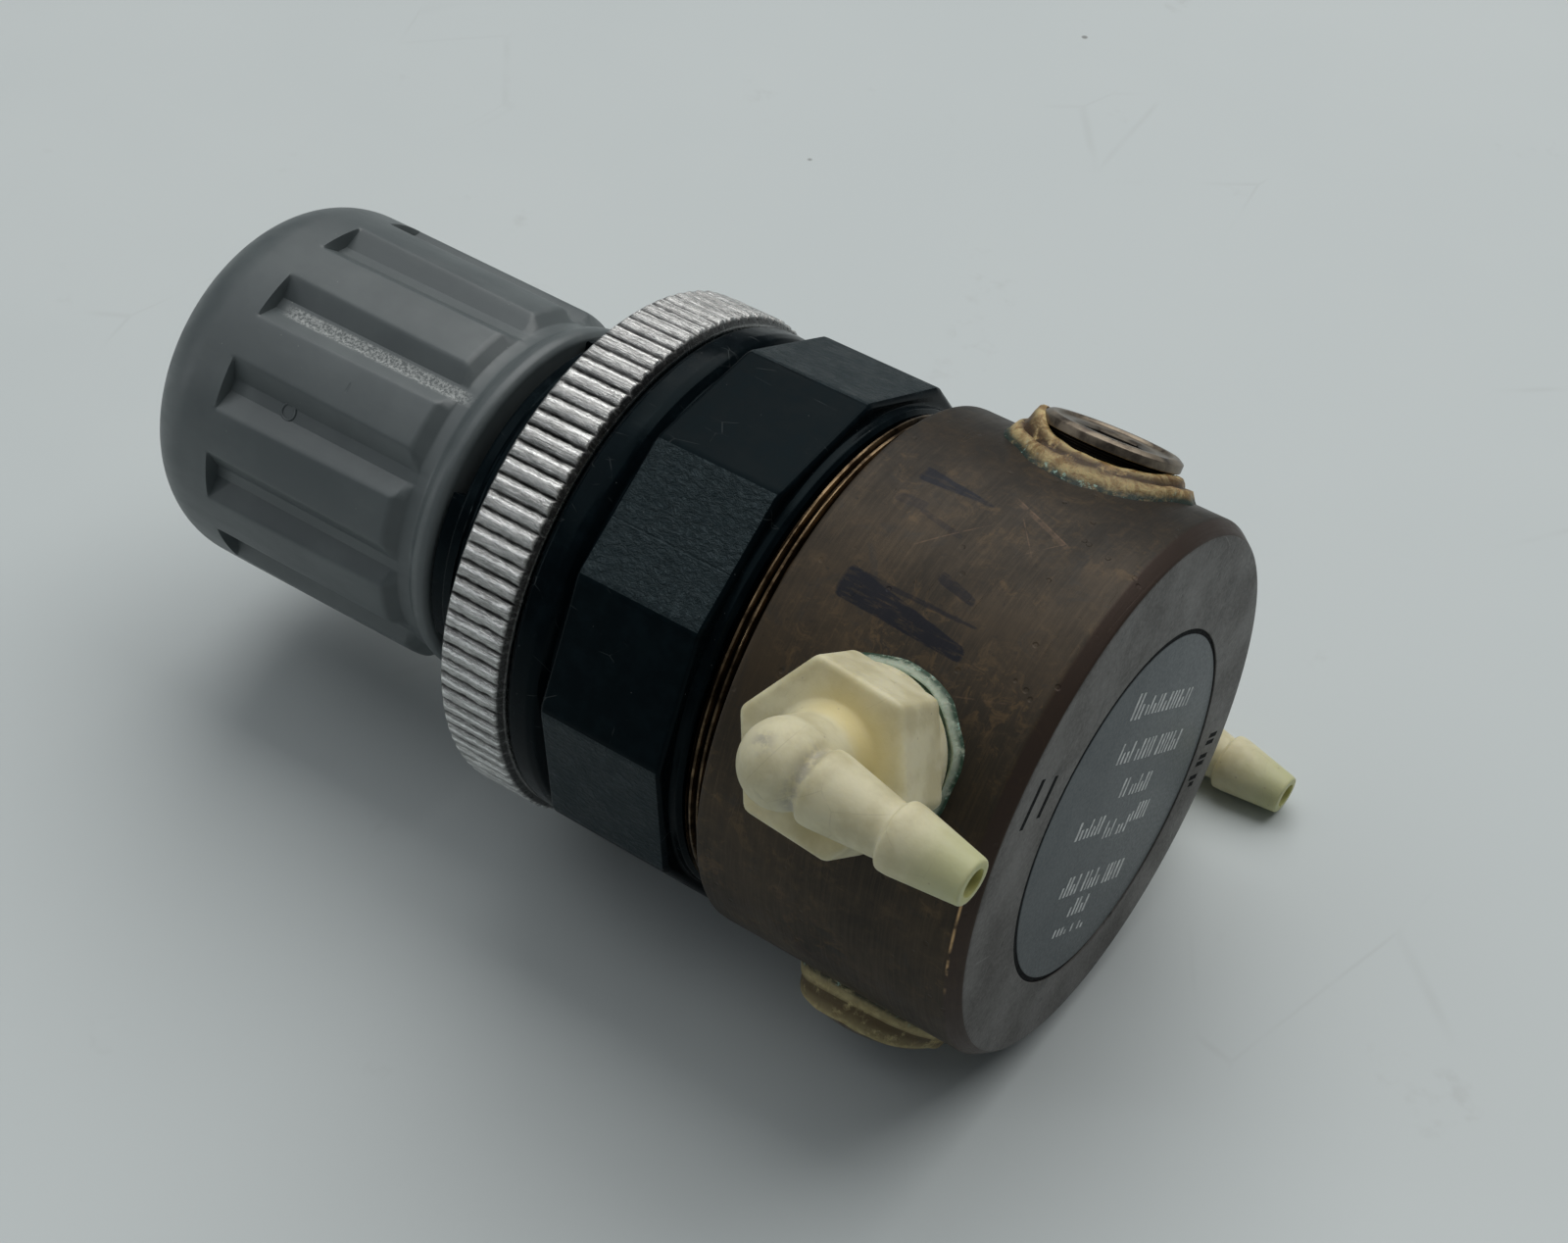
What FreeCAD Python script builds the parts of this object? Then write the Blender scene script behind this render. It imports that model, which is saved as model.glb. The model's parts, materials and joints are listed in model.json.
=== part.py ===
"""Miniature diaphragm relief regulator with hose-barb elbows, lying on its side.

Frame, in millimetres: the origin is on the main axis, in the plane where the bonnet's collar
seats against a panel. +X runs from there to the closed, labelled end of the body, -X runs to
the adjusting knob, and +Z is up. Port directions are angles from +Z towards +Y.
"""
import FreeCAD, Part
import math
import os

Vec = FreeCAD.Vector
X_AXIS = Vec(1, 0, 0)
Y_AXIS = Vec(0, 1, 0)
Z_AXIS = Vec(0, 0, 1)
ORIGIN = Vec(0, 0, 0)

# ---- body
BODY_R = 20.5            # outer radius of the bronze body
FACE_X = 38.4            # closed end face
OPEN_X = 17.4            # shoulder at the bonnet end
BODY_CHAMFER_X = 1.1     # closed-end chamfer, along the axis
BODY_CHAMFER_R = 0.8     # closed-end chamfer, across the axis
SPIGOT_END_X = 8.9       # end of the threaded spigot, where the diaphragm seats
SPIGOT_R = 18.2          # crest of the male body thread
SPIGOT_PITCH = 1.0
SPIGOT_DEPTH = 0.45
RUNOUT_X = 15.3          # last, finer turns that show between the bonnet rim and the shoulder
RUNOUT_R = 19.0
RUNOUT_PITCH = 0.62
RUNOUT_DEPTH = 0.38
CHAMBER_R = 13.4         # inlet chamber under the diaphragm
CHAMBER_FLOOR_X = 13.5
SEAT_POST_R = 5.2
SEAT_POST_X = 11.5
LABEL_R = 13.4           # printed disc
LABEL_RECESS_R = 13.7
LABEL_DEPTH = 0.4
LABEL_OFFSET_Y = 0.5     # the disc is let in slightly off centre
LABEL_OFFSET_Z = -1.5

# ---- ports: four, 90 degrees apart round the body
PORT_X = 28.05
PORT_R = 4.9             # pocket for a 1/8 inch pipe thread
PORT_FLOOR_H = 11.5      # height of the pocket's floor above the main axis
INLET_ANGLE = -54.1
UPPER_PLUG_ANGLE = INLET_ANGLE + 90
OUTLET_ANGLE = INLET_ANGLE + 180
LOWER_PLUG_ANGLE = INLET_ANGLE + 270
FEED_HOLE_R = 1.5        # drillings from the chamber to the inlet and gauge pockets
FEED_HOLE_H = 12.0

# ---- hose-barb elbow: heights are from the main axis, along the port
ELBOW_SHANK_R = 4.85
ELBOW_SHANK_H = 12.6
ELBOW_FLANGE_H = 20.9
ELBOW_FLANGE_R = 5.8
ELBOW_HEX_H = 21.8
ELBOW_HEX_TOP_H = 27.4
ELBOW_HEX_AF = 11.4
ELBOW_ARM_H = 32.3
ELBOW_BALL_R = 2.9
ELBOW_ARM_R0 = 2.75      # arm radius beside the ball
ELBOW_ARM_R1 = 1.85      # arm radius behind the barb
BARB_START = 8.2         # distances along the arm from the port axis
BARB_LAND = 0.8
BARB_END = 13.8
BARB_R = 2.35
BARB_TIP_R = 1.6
ELBOW_BORE_R = 0.95
INLET_SWING = -4.0       # how far each arm points away from +X
OUTLET_SWING = 4.5
SEAL_R = 5.75            # thread-sealant ring under the flange

# ---- gauge port plugs
PLUG_R = 5.15
PLUG_TOP_H = 22.8
PLUG_RIM_H = 21.9
PLUG_ROOT_R = 4.85
PLUG_BOTTOM_H = 14.5
PLUG_SOCKET_AF = 4.76
PLUG_SOCKET_DEPTH = 3.6
SEALANT_FOOT_H = 19.0
SEALANT_TOP_H = 21.4
UPPER_SEALANT_R = 6.9
LOWER_SEALANT_R = 6.1

# ---- bonnet
BONNET_RIM_X = 15.0      # round rim below the wrench section
BONNET_RIM_R = 19.1
WRENCH_X0 = 3.7
WRENCH_X1 = 14.1
WRENCH_R = 20.6          # radius over the corners of the 12-sided section
WRENCH_SIDES = 12
WRENCH_TURN = 10.5       # angle of one corner from +Z
COLLAR_R = 19.7
COLLAR_GROOVE_R = 18.9
COLLAR_GROOVE_X = 3.2
NECK_R = 14.9            # M30 x 1.5 panel thread
NECK_END_X = -9.5
BONNET_TOP_X = -10.6
BONNET_TOP_R = 14.2
BONNET_THREAD_R = 18.3
BONNET_SHOULDER_X = 7.5
SPRING_BORE_R = 11.2
KEYWAY_R = 12.7
KEYWAY_W = 3.4
TOP_WALL_X = -8.6
SCREW_NECK_BORE_R = 4.5
LUG_COUNT = 3            # knob-lock lugs on the bonnet's top
LUG_SPAN = 50
LUG_TOP_X = -11.6
LUG_INNER_R = 12.4
LUG_CENTRE = 285

# ---- panel nut
NUT_LEN = 5.55
NUT_R = 20.3
NUT_TEETH = 96
NUT_TOOTH_DEPTH = 0.35
NUT_BORE_R = 15.0
NUT_EDGE = 0.4

# ---- knob
KNOB_SKIRT_X = -11.9
KNOB_LIP_R = 14.35
KNOB_SKIRT_R = 13.75
KNOB_LAND_X = -15.0      # where the lands rise from the skirt
KNOB_HEAD_X = -33.2      # where the flutes stop
KNOB_END_X = -41.27
KNOB_R = 14.88
KNOB_ROUND = 5.3
KNOB_FLUTES = 12
KNOB_FLUTE_HALF = 8.2    # half angle of a flute at the land radius
KNOB_FLUTE_BOTTOM = 2.0  # half angle of its flat bottom
KNOB_FLUTE_TURN = 8.0    # angle of one flute from +Z
KNOB_INNER_R = 11.6
KNOB_WEB_X = -14.2
KNOB_HUB_X = -20.5
KNOB_CHAMBER_R = 5.7
KNOB_CHAMBER_X = -27.6

# ---- adjusting screw
SCREW_R = 4.0
SCREW_END_X = 4.2
SCREW_COLLAR_X0 = -8.0
SCREW_COLLAR_X1 = -6.9
SCREW_COLLAR_R = 7.0
SCREW_HEX_AF = 7.0
SCREW_HEX_END_X = -25.0
CLIP_X = -10.7
CLIP_T = 0.7
CLIP_R = 7.0
CLIP_GROOVE_R = 3.2
STOP_X = -23.1
STOP_T = 0.8
STOP_R = 5.3
STOP_GROOVE_R = 3.1

# ---- spring, spring nut and diaphragm stack
SPRING_NUT_X0 = -5.6
SPRING_NUT_X1 = -2.6
SPRING_NUT_R = 10.9
SPRING_NUT_BOSS_R = 6.2
SPRING_NUT_BOSS_X = -1.2
KEY_R = 12.4
KEY_W = 3.0
SPRING_WIRE = 1.7
SPRING_MEAN_R = 8.5
SPRING_TURNS = 3.0
PLATE_X0 = 6.9
PLATE_X1 = 8.1
PLATE_R = 10.4
PLATE_BOSS_R = 5.0
PLATE_BOSS_X = 5.4
DIAPHRAGM_R = 17.2
HOLDER_R = 6.2
HOLDER_X = 9.7
HOLDER_STEM_R = 1.6
PAD_R = 3.2
PAD_X0 = 9.2
PAD_X1 = 9.9
NOZZLE_BORE_R = 1.5
NOZZLE_STEM_R = 3.0
NOZZLE_FLANGE_R = 4.4
NOZZLE_TIP_R = 2.2
SEAL_RING_R = 3.55
SEAL_RING_WIRE = 1.0


# ---- shared shapes
def turned(points):
    """Solid of revolution about the X axis from a closed outline of (x, radius) points."""
    outline = [Vec(x, r, 0) for x, r in points]
    face = Part.Face(Part.makePolygon(outline + [outline[0]]))
    return face.revolve(ORIGIN, X_AXIS, 360)


def rod(radius, x0, x1):
    """Cylinder on the main axis."""
    return Part.makeCylinder(radius, abs(x1 - x0), Vec(min(x0, x1), 0, 0), X_AXIS)


def post(radius, h0, h1, x=0.0, y=0.0):
    """Cylinder along a port's own axis, from height h0 to height h1."""
    return Part.makeCylinder(radius, h1 - h0, Vec(x, y, h0), Z_AXIS)


def corners(sides, radius, first_deg=0.0):
    """Corner positions (u, v) of a regular polygon."""
    step = 2 * math.pi / sides
    first = math.radians(first_deg)
    return [(radius * math.cos(first + i * step), radius * math.sin(first + i * step))
            for i in range(sides)]


def hex_radius(across_flats):
    return across_flats / math.sqrt(3)


def prism_x(uv, x0, x1):
    """Prism along X from (y, z) corners."""
    ring = [Vec(x0, y, z) for y, z in uv]
    return Part.Face(Part.makePolygon(ring + [ring[0]])).extrude(Vec(x1 - x0, 0, 0))


def prism_z(uv, z0, z1):
    """Prism along Z from (x, y) corners."""
    ring = [Vec(x, y, z0) for x, y in uv]
    return Part.Face(Part.makePolygon(ring + [ring[0]])).extrude(Vec(0, 0, z1 - z0))


def about_axis(shape, angle):
    """Copy turned about the main axis, angle counted from +Z towards +Y."""
    copy = shape.copy()
    copy.rotate(ORIGIN, X_AXIS, -angle)
    return copy


def at_port(shape, angle):
    """Move a shape built on a port's own axis (its +Z, with +X along the body) to that port."""
    copy = shape.copy()
    copy.translate(Vec(PORT_X, 0, 0))
    return about_axis(copy, angle)


def save(node, shape):
    shape = shape.removeSplitter() if len(shape.Solids) == 1 else shape
    for solid in shape.Solids:
        if not solid.isValid():
            raise ValueError(node + " is not a valid solid")
    shape = shape.Solids[0] if len(shape.Solids) == 1 else Part.makeCompound(shape.Solids)
    shape.exportStep(os.path.join("parts", node + ".step"))
    print(node, len(shape.Solids), round(shape.Volume, 2))


# ---- body group
def valve_body():
    outline = [(SPIGOT_END_X, 0), (SPIGOT_END_X, SPIGOT_R - SPIGOT_DEPTH)]
    x = SPIGOT_END_X
    while x + SPIGOT_PITCH <= RUNOUT_X - 0.4:
        outline += [(x + 0.35, SPIGOT_R), (x + 0.6, SPIGOT_R), (x + 1.0, SPIGOT_R - SPIGOT_DEPTH)]
        x += SPIGOT_PITCH
    outline += [(RUNOUT_X, SPIGOT_R - SPIGOT_DEPTH), (RUNOUT_X, RUNOUT_R - RUNOUT_DEPTH)]
    x = RUNOUT_X
    while x + RUNOUT_PITCH <= OPEN_X:
        outline += [(x + 0.22, RUNOUT_R), (x + 0.40, RUNOUT_R),
                    (x + RUNOUT_PITCH, RUNOUT_R - RUNOUT_DEPTH)]
        x += RUNOUT_PITCH
    outline += [
        (OPEN_X, RUNOUT_R - RUNOUT_DEPTH), (OPEN_X, BODY_R - 0.4), (OPEN_X + 0.4, BODY_R),
        (FACE_X - BODY_CHAMFER_X, BODY_R), (FACE_X, BODY_R - BODY_CHAMFER_R), (FACE_X, 0),
    ]
    body = turned(outline)
    chamber = turned([
        (SPIGOT_END_X - 1, 0), (SPIGOT_END_X - 1, CHAMBER_R), (CHAMBER_FLOOR_X, CHAMBER_R),
        (CHAMBER_FLOOR_X, SEAT_POST_R), (SEAT_POST_X, SEAT_POST_R), (SEAT_POST_X, 0),
    ])
    seat_bore = rod(NOZZLE_STEM_R, SEAT_POST_X - 1, 17.5)
    ring_pocket = rod(SEAL_RING_R + 0.6, SEAT_POST_X - 1, SEAT_POST_X + 1.0)
    centre_bore = rod(NOZZLE_BORE_R, 16, PORT_X + 1)
    label_recess = rod(LABEL_RECESS_R, FACE_X - LABEL_DEPTH, FACE_X + 1)
    label_recess.translate(Vec(0, LABEL_OFFSET_Y, LABEL_OFFSET_Z))
    cuts = [chamber, seat_bore, ring_pocket, centre_bore, label_recess]
    pocket = post(PORT_R, PORT_FLOOR_H, BODY_R + 5)
    cross_hole = post(NOZZLE_BORE_R, 0, BODY_R)
    for angle in (INLET_ANGLE, UPPER_PLUG_ANGLE, OUTLET_ANGLE, LOWER_PLUG_ANGLE):
        cuts.append(at_port(pocket, angle))
    cuts.append(at_port(cross_hole, OUTLET_ANGLE))
    feed = Part.makeCylinder(FEED_HOLE_R, PORT_X - CHAMBER_FLOOR_X + 1,
                             Vec(CHAMBER_FLOOR_X - 1, 0, FEED_HOLE_H), X_AXIS)
    for angle in (INLET_ANGLE, UPPER_PLUG_ANGLE, LOWER_PLUG_ANGLE):
        cuts.append(about_axis(feed, angle))
    return body.cut(cuts)


def label_disc():
    disc = rod(LABEL_R, FACE_X - LABEL_DEPTH, FACE_X - 0.1)
    disc.translate(Vec(0, LABEL_OFFSET_Y, LABEL_OFFSET_Z))
    return disc


# ---- fittings, each built on its own port axis
def hose_elbow(angle, swing):
    base = post(ELBOW_SHANK_R, ELBOW_SHANK_H, ELBOW_FLANGE_H)
    flange = post(ELBOW_FLANGE_R, ELBOW_FLANGE_H, ELBOW_HEX_H)
    hexagon = prism_z(corners(6, hex_radius(ELBOW_HEX_AF)), ELBOW_HEX_H, ELBOW_HEX_TOP_H)
    riser = post(ELBOW_BALL_R, ELBOW_HEX_TOP_H, ELBOW_ARM_H)
    ball = Part.makeSphere(ELBOW_BALL_R, Vec(0, 0, ELBOW_ARM_H))
    arm_start = Vec(0.6, 0, ELBOW_ARM_H)
    arm = Part.makeCone(ELBOW_ARM_R0, ELBOW_ARM_R1, BARB_START - 0.6, arm_start, X_AXIS)
    land = Part.makeCylinder(BARB_R, BARB_LAND, Vec(BARB_START, 0, ELBOW_ARM_H), X_AXIS)
    cone_start = Vec(BARB_START + BARB_LAND, 0, ELBOW_ARM_H)
    cone_len = BARB_END - BARB_START - BARB_LAND
    cone = Part.makeCone(BARB_R, BARB_TIP_R, cone_len, cone_start, X_AXIS)
    elbow = base.fuse([flange, hexagon, riser, ball, arm, land, cone])
    down_bore = post(ELBOW_BORE_R, ELBOW_SHANK_H - 1, ELBOW_ARM_H)
    arm_bore = Part.makeCylinder(ELBOW_BORE_R, BARB_END + 1, Vec(0, 0, ELBOW_ARM_H), X_AXIS)
    bore_ball = Part.makeSphere(ELBOW_BORE_R, Vec(0, 0, ELBOW_ARM_H))
    elbow = elbow.cut([down_bore, arm_bore, bore_ball])
    elbow.rotate(ORIGIN, Z_AXIS, swing)
    return at_port(elbow, angle)


def seal_ring(angle, outer_r, top_h, top_r, inner_r):
    """Squeezed-out thread sealant that follows the round body underneath."""
    section = [Vec(inner_r, 0, SEALANT_FOOT_H), Vec(outer_r, 0, SEALANT_FOOT_H),
               Vec(outer_r, 0, SEALANT_FOOT_H + 0.9), Vec(top_r, 0, top_h), Vec(inner_r, 0, top_h)]
    ring = Part.Face(Part.makePolygon(section + [section[0]])).revolve(ORIGIN, Z_AXIS, 360)
    return at_port(ring, angle).cut(rod(BODY_R, OPEN_X, FACE_X))


def pipe_plug(angle):
    """Hex-socket pipe plug: threaded body with a raised rim."""
    body = post(PLUG_ROOT_R, PLUG_BOTTOM_H, PLUG_RIM_H)
    rim = post(PLUG_R, PLUG_RIM_H, PLUG_TOP_H - 0.25)
    crown = Part.makeCone(PLUG_R, PLUG_R - 0.25, 0.25, Vec(0, 0, PLUG_TOP_H - 0.25), Z_AXIS)
    socket = prism_z(corners(6, hex_radius(PLUG_SOCKET_AF), 12),
                     PLUG_TOP_H - PLUG_SOCKET_DEPTH, PLUG_TOP_H + 1)
    return at_port(body.fuse([rim, crown]).cut(socket), angle)


# ---- bonnet group
def bonnet():
    outline = [
        (BONNET_RIM_X, 0), (BONNET_RIM_X, BONNET_RIM_R - 0.3), (BONNET_RIM_X - 0.3, BONNET_RIM_R),
        (WRENCH_X1 - 0.5, BONNET_RIM_R), (COLLAR_GROOVE_X + 0.5, COLLAR_GROOVE_R),
        (COLLAR_GROOVE_X, COLLAR_GROOVE_R), (COLLAR_GROOVE_X - 0.7, COLLAR_R - 0.1),
        (COLLAR_GROOVE_X - 1.2, COLLAR_R), (0.5, COLLAR_R), (0, COLLAR_R - 0.5),
        (0, NECK_R), (NECK_END_X, NECK_R), (NECK_END_X, BONNET_TOP_R),
        (BONNET_TOP_X + 0.2, BONNET_TOP_R), (BONNET_TOP_X, BONNET_TOP_R - 0.2), (BONNET_TOP_X, 0),
    ]
    shell = turned(outline)
    wrench = prism_x(corners(WRENCH_SIDES, WRENCH_R, 90 - WRENCH_TURN), WRENCH_X0, WRENCH_X1)
    lugs = []
    for i in range(LUG_COUNT):
        ring = turned([(BONNET_TOP_X + 0.5, LUG_INNER_R), (BONNET_TOP_X + 0.5, BONNET_TOP_R - 0.2),
                       (LUG_TOP_X, BONNET_TOP_R - 0.2), (LUG_TOP_X, LUG_INNER_R)])
        half = math.radians(LUG_SPAN / 2)
        reach = 30
        side = reach * math.tan(half)
        wedge = prism_x([(0, 0), (side, reach), (-side, reach)], LUG_TOP_X - 1, 0)
        lugs.append(about_axis(ring.common(wedge), LUG_CENTRE + i * 360 / LUG_COUNT))
    bores = [
        rod(BONNET_THREAD_R, BONNET_SHOULDER_X, BONNET_RIM_X + 1),
        rod(SPRING_BORE_R, TOP_WALL_X, BONNET_SHOULDER_X + 0.1),
        rod(SCREW_NECK_BORE_R, BONNET_TOP_X - 1, TOP_WALL_X + 0.1),
    ]
    keyway = Part.makeBox(BONNET_SHOULDER_X - SPRING_NUT_X0 + 2.2, KEYWAY_W, 2 * KEYWAY_R,
                          Vec(SPRING_NUT_X0 - 2.0, -KEYWAY_W / 2, -KEYWAY_R))
    return shell.fuse([wrench] + lugs).cut(bores + [keyway])


def panel_nut():
    """Ring nut with a straight knurl of rounded teeth."""
    half = math.pi / NUT_TEETH
    rim = []
    for i in range(NUT_TEETH):
        centre = 2 * math.pi * i / NUT_TEETH
        for turn, radius in ((-0.55, NUT_R), (0.55, NUT_R), (1.0, NUT_R - NUT_TOOTH_DEPTH)):
            angle = centre + turn * half
            rim.append((radius * math.cos(angle), radius * math.sin(angle)))
    blank = prism_x(rim, 0, -NUT_LEN)
    edge = turned([(0, 0), (0, NUT_R - NUT_EDGE), (-NUT_EDGE, NUT_R + 0.01),
                   (NUT_EDGE - NUT_LEN, NUT_R + 0.01), (-NUT_LEN, NUT_R - NUT_EDGE), (-NUT_LEN, 0)])
    bore = turned([(1, 0), (1, NUT_BORE_R + 1.4), (-0.4, NUT_BORE_R), (0.4 - NUT_LEN, NUT_BORE_R),
                   (-NUT_LEN - 1, NUT_BORE_R + 1.4), (-NUT_LEN - 1, 0)])
    return blank.common(edge).cut(bore)


# ---- knob and screw
def adjusting_knob():
    profile = [(KNOB_SKIRT_X, 0), (KNOB_SKIRT_X, KNOB_LIP_R - 0.5),
               (KNOB_SKIRT_X - 0.3, KNOB_LIP_R - 0.1), (KNOB_SKIRT_X - 0.8, KNOB_LIP_R),
               (KNOB_SKIRT_X - 1.4, KNOB_LIP_R - 0.15), (KNOB_SKIRT_X - 2.0, KNOB_SKIRT_R),
               (KNOB_LAND_X + 0.3, KNOB_SKIRT_R), (KNOB_LAND_X - 0.6, KNOB_R - 0.15),
               (KNOB_HEAD_X, KNOB_R)]
    arc = Part.Arc(Vec(KNOB_END_X + KNOB_ROUND, KNOB_R, 0),
                   Vec(KNOB_END_X + KNOB_ROUND * (1 - math.sqrt(0.5)),
                       KNOB_R - KNOB_ROUND * (1 - math.sqrt(0.5)), 0),
                   Vec(KNOB_END_X, KNOB_R - KNOB_ROUND, 0))
    points = [Vec(x, r, 0) for x, r in profile] + [Vec(KNOB_END_X + KNOB_ROUND, KNOB_R, 0)]
    outline = Part.makePolygon(points).Edges + [arc.toShape()]
    outline += Part.makePolygon([Vec(KNOB_END_X, KNOB_R - KNOB_ROUND, 0), Vec(KNOB_END_X, 0, 0),
                                 Vec(KNOB_SKIRT_X, 0, 0)]).Edges
    knob = Part.Face(Part.Wire(outline)).revolve(ORIGIN, X_AXIS, 360)
    flank = [(radius * math.sin(math.radians(half)), radius * math.cos(math.radians(half)))
             for radius, half in ((KNOB_SKIRT_R, KNOB_FLUTE_BOTTOM), (KNOB_R, KNOB_FLUTE_HALF))]
    reach = [low + 2.5 * (high - low) for low, high in zip(*flank)]
    flute_section = [(-flank[0][0], flank[0][1]), (flank[0][0], flank[0][1]),
                     (reach[0], reach[1]), (-reach[0], reach[1])]
    flute = prism_x(flute_section, KNOB_LAND_X + 1.5, KNOB_HEAD_X)
    flutes = [about_axis(flute, KNOB_FLUTE_TURN + i * 360 / KNOB_FLUTES)
              for i in range(KNOB_FLUTES)]
    hollow = rod(KNOB_INNER_R, KNOB_SKIRT_X + 1, KNOB_WEB_X)
    hub_bore = prism_x(corners(6, hex_radius(SCREW_HEX_AF + 0.12), 90),
                       KNOB_WEB_X + 1, KNOB_HUB_X - 1)
    chamber = rod(KNOB_CHAMBER_R, KNOB_HUB_X, KNOB_CHAMBER_X)
    return knob.cut(flutes + [hollow, hub_bore, chamber])


def adjusting_screw():
    thread = rod(SCREW_R, SCREW_COLLAR_X0, SCREW_END_X)
    collar = rod(SCREW_COLLAR_R, SCREW_COLLAR_X0, SCREW_COLLAR_X1)
    neck = rod(SCREW_NECK_BORE_R - 0.06, SCREW_COLLAR_X0, BONNET_TOP_X - 0.2)
    drive = prism_x(corners(6, hex_radius(SCREW_HEX_AF), 90), BONNET_TOP_X, SCREW_HEX_END_X)
    screw = thread.fuse([collar, neck, drive])
    grooves = []
    for x, width, root in ((CLIP_X, CLIP_T, CLIP_GROOVE_R), (STOP_X, STOP_T, STOP_GROOVE_R)):
        grooves.append(rod(8, x, x - width).cut(rod(root, x, x - width)))
    return screw.cut(grooves)


def open_ring(root_r, outer_r, x0, width, gap):
    """Flat retaining ring with a gap, snapped into a groove."""
    ring = rod(outer_r, x0, x0 - width).cut(rod(root_r, x0, x0 - width))
    slot = Part.makeBox(width + 1, gap, outer_r + 1, Vec(x0 - width - 0.5, -gap / 2, 0))
    return ring.cut(slot)


def thrust_washer():
    washer = rod(SCREW_COLLAR_R + 0.4, TOP_WALL_X, SCREW_COLLAR_X0)
    return washer.cut(rod(SCREW_NECK_BORE_R + 0.1, TOP_WALL_X, SCREW_COLLAR_X0))


def spring_nut():
    disc = rod(SPRING_NUT_R, SPRING_NUT_X0, SPRING_NUT_X1)
    boss = rod(SPRING_NUT_BOSS_R, SPRING_NUT_X1, SPRING_NUT_BOSS_X)
    key = Part.makeBox(SPRING_NUT_X1 - SPRING_NUT_X0, KEY_W, 2 * KEY_R,
                       Vec(SPRING_NUT_X0, -KEY_W / 2, -KEY_R))
    return disc.fuse([boss, key.common(rod(KEY_R, SPRING_NUT_X0, SPRING_NUT_X1))]).cut(
        rod(SCREW_R + 0.06, SPRING_NUT_X0 - 1, SPRING_NUT_BOSS_X + 1))


def range_spring():
    """Compression spring with its end coils ground flat."""
    free = PLATE_X0 - SPRING_NUT_X1
    pitch = (free - SPRING_WIRE * 0.5) / SPRING_TURNS
    height = pitch * SPRING_TURNS
    helix = Part.makeHelix(pitch, height, SPRING_MEAN_R)
    section = Part.Wire(Part.makeCircle(SPRING_WIRE / 2, Vec(SPRING_MEAN_R, 0, 0), Y_AXIS))
    coil = Part.Wire(helix).makePipeShell([section], True, True)
    coil.rotate(ORIGIN, Y_AXIS, 90)
    coil.translate(Vec(SPRING_NUT_X1 + SPRING_WIRE * 0.25, 0, 0))
    return coil.common(rod(SPRING_MEAN_R + 3, SPRING_NUT_X1, PLATE_X0))


# ---- diaphragm group
def diaphragm_plate():
    plate = turned([(PLATE_X1, HOLDER_STEM_R), (PLATE_X1, PLATE_R), (PLATE_X0 - 0.5, PLATE_R + 0.1),
                    (PLATE_X0 - 0.5, PLATE_R - 0.6), (PLATE_X0, PLATE_R - 0.7),
                    (PLATE_X0, PLATE_BOSS_R), (PLATE_BOSS_X, PLATE_BOSS_R),
                    (PLATE_BOSS_X, HOLDER_STEM_R)])
    return plate


def diaphragm():
    return rod(DIAPHRAGM_R, PLATE_X1, SPIGOT_END_X).cut(rod(HOLDER_STEM_R, PLATE_X1, SPIGOT_END_X))


def valve_holder():
    """Riveted holder under the diaphragm that carries the valve pad."""
    holder = turned([(PLATE_BOSS_X, 0), (PLATE_BOSS_X, HOLDER_STEM_R), (SPIGOT_END_X, HOLDER_STEM_R),
                     (SPIGOT_END_X, HOLDER_R), (HOLDER_X, HOLDER_R), (HOLDER_X, 0)])
    return holder.cut(rod(PAD_R, PAD_X0, HOLDER_X + 1))


def valve_pad():
    return rod(PAD_R, PAD_X0, PAD_X1)


def relief_seat():
    return turned([(PAD_X1, NOZZLE_BORE_R), (PAD_X1, NOZZLE_TIP_R), (10.6, NOZZLE_TIP_R + 0.2),
                   (10.6, NOZZLE_FLANGE_R), (SEAT_POST_X, NOZZLE_FLANGE_R),
                   (SEAT_POST_X, NOZZLE_STEM_R), (17.4, NOZZLE_STEM_R), (17.4, NOZZLE_BORE_R)])


def seat_o_ring():
    return Part.makeTorus(SEAL_RING_R, SEAL_RING_WIRE / 2, Vec(SEAT_POST_X + 0.5, 0, 0), X_AXIS)


def clamp_ring():
    ring = rod(DIAPHRAGM_R, BONNET_SHOULDER_X, PLATE_X1)
    return ring.cut(rod(CHAMBER_R - 1.5, BONNET_SHOULDER_X, PLATE_X1))


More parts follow.
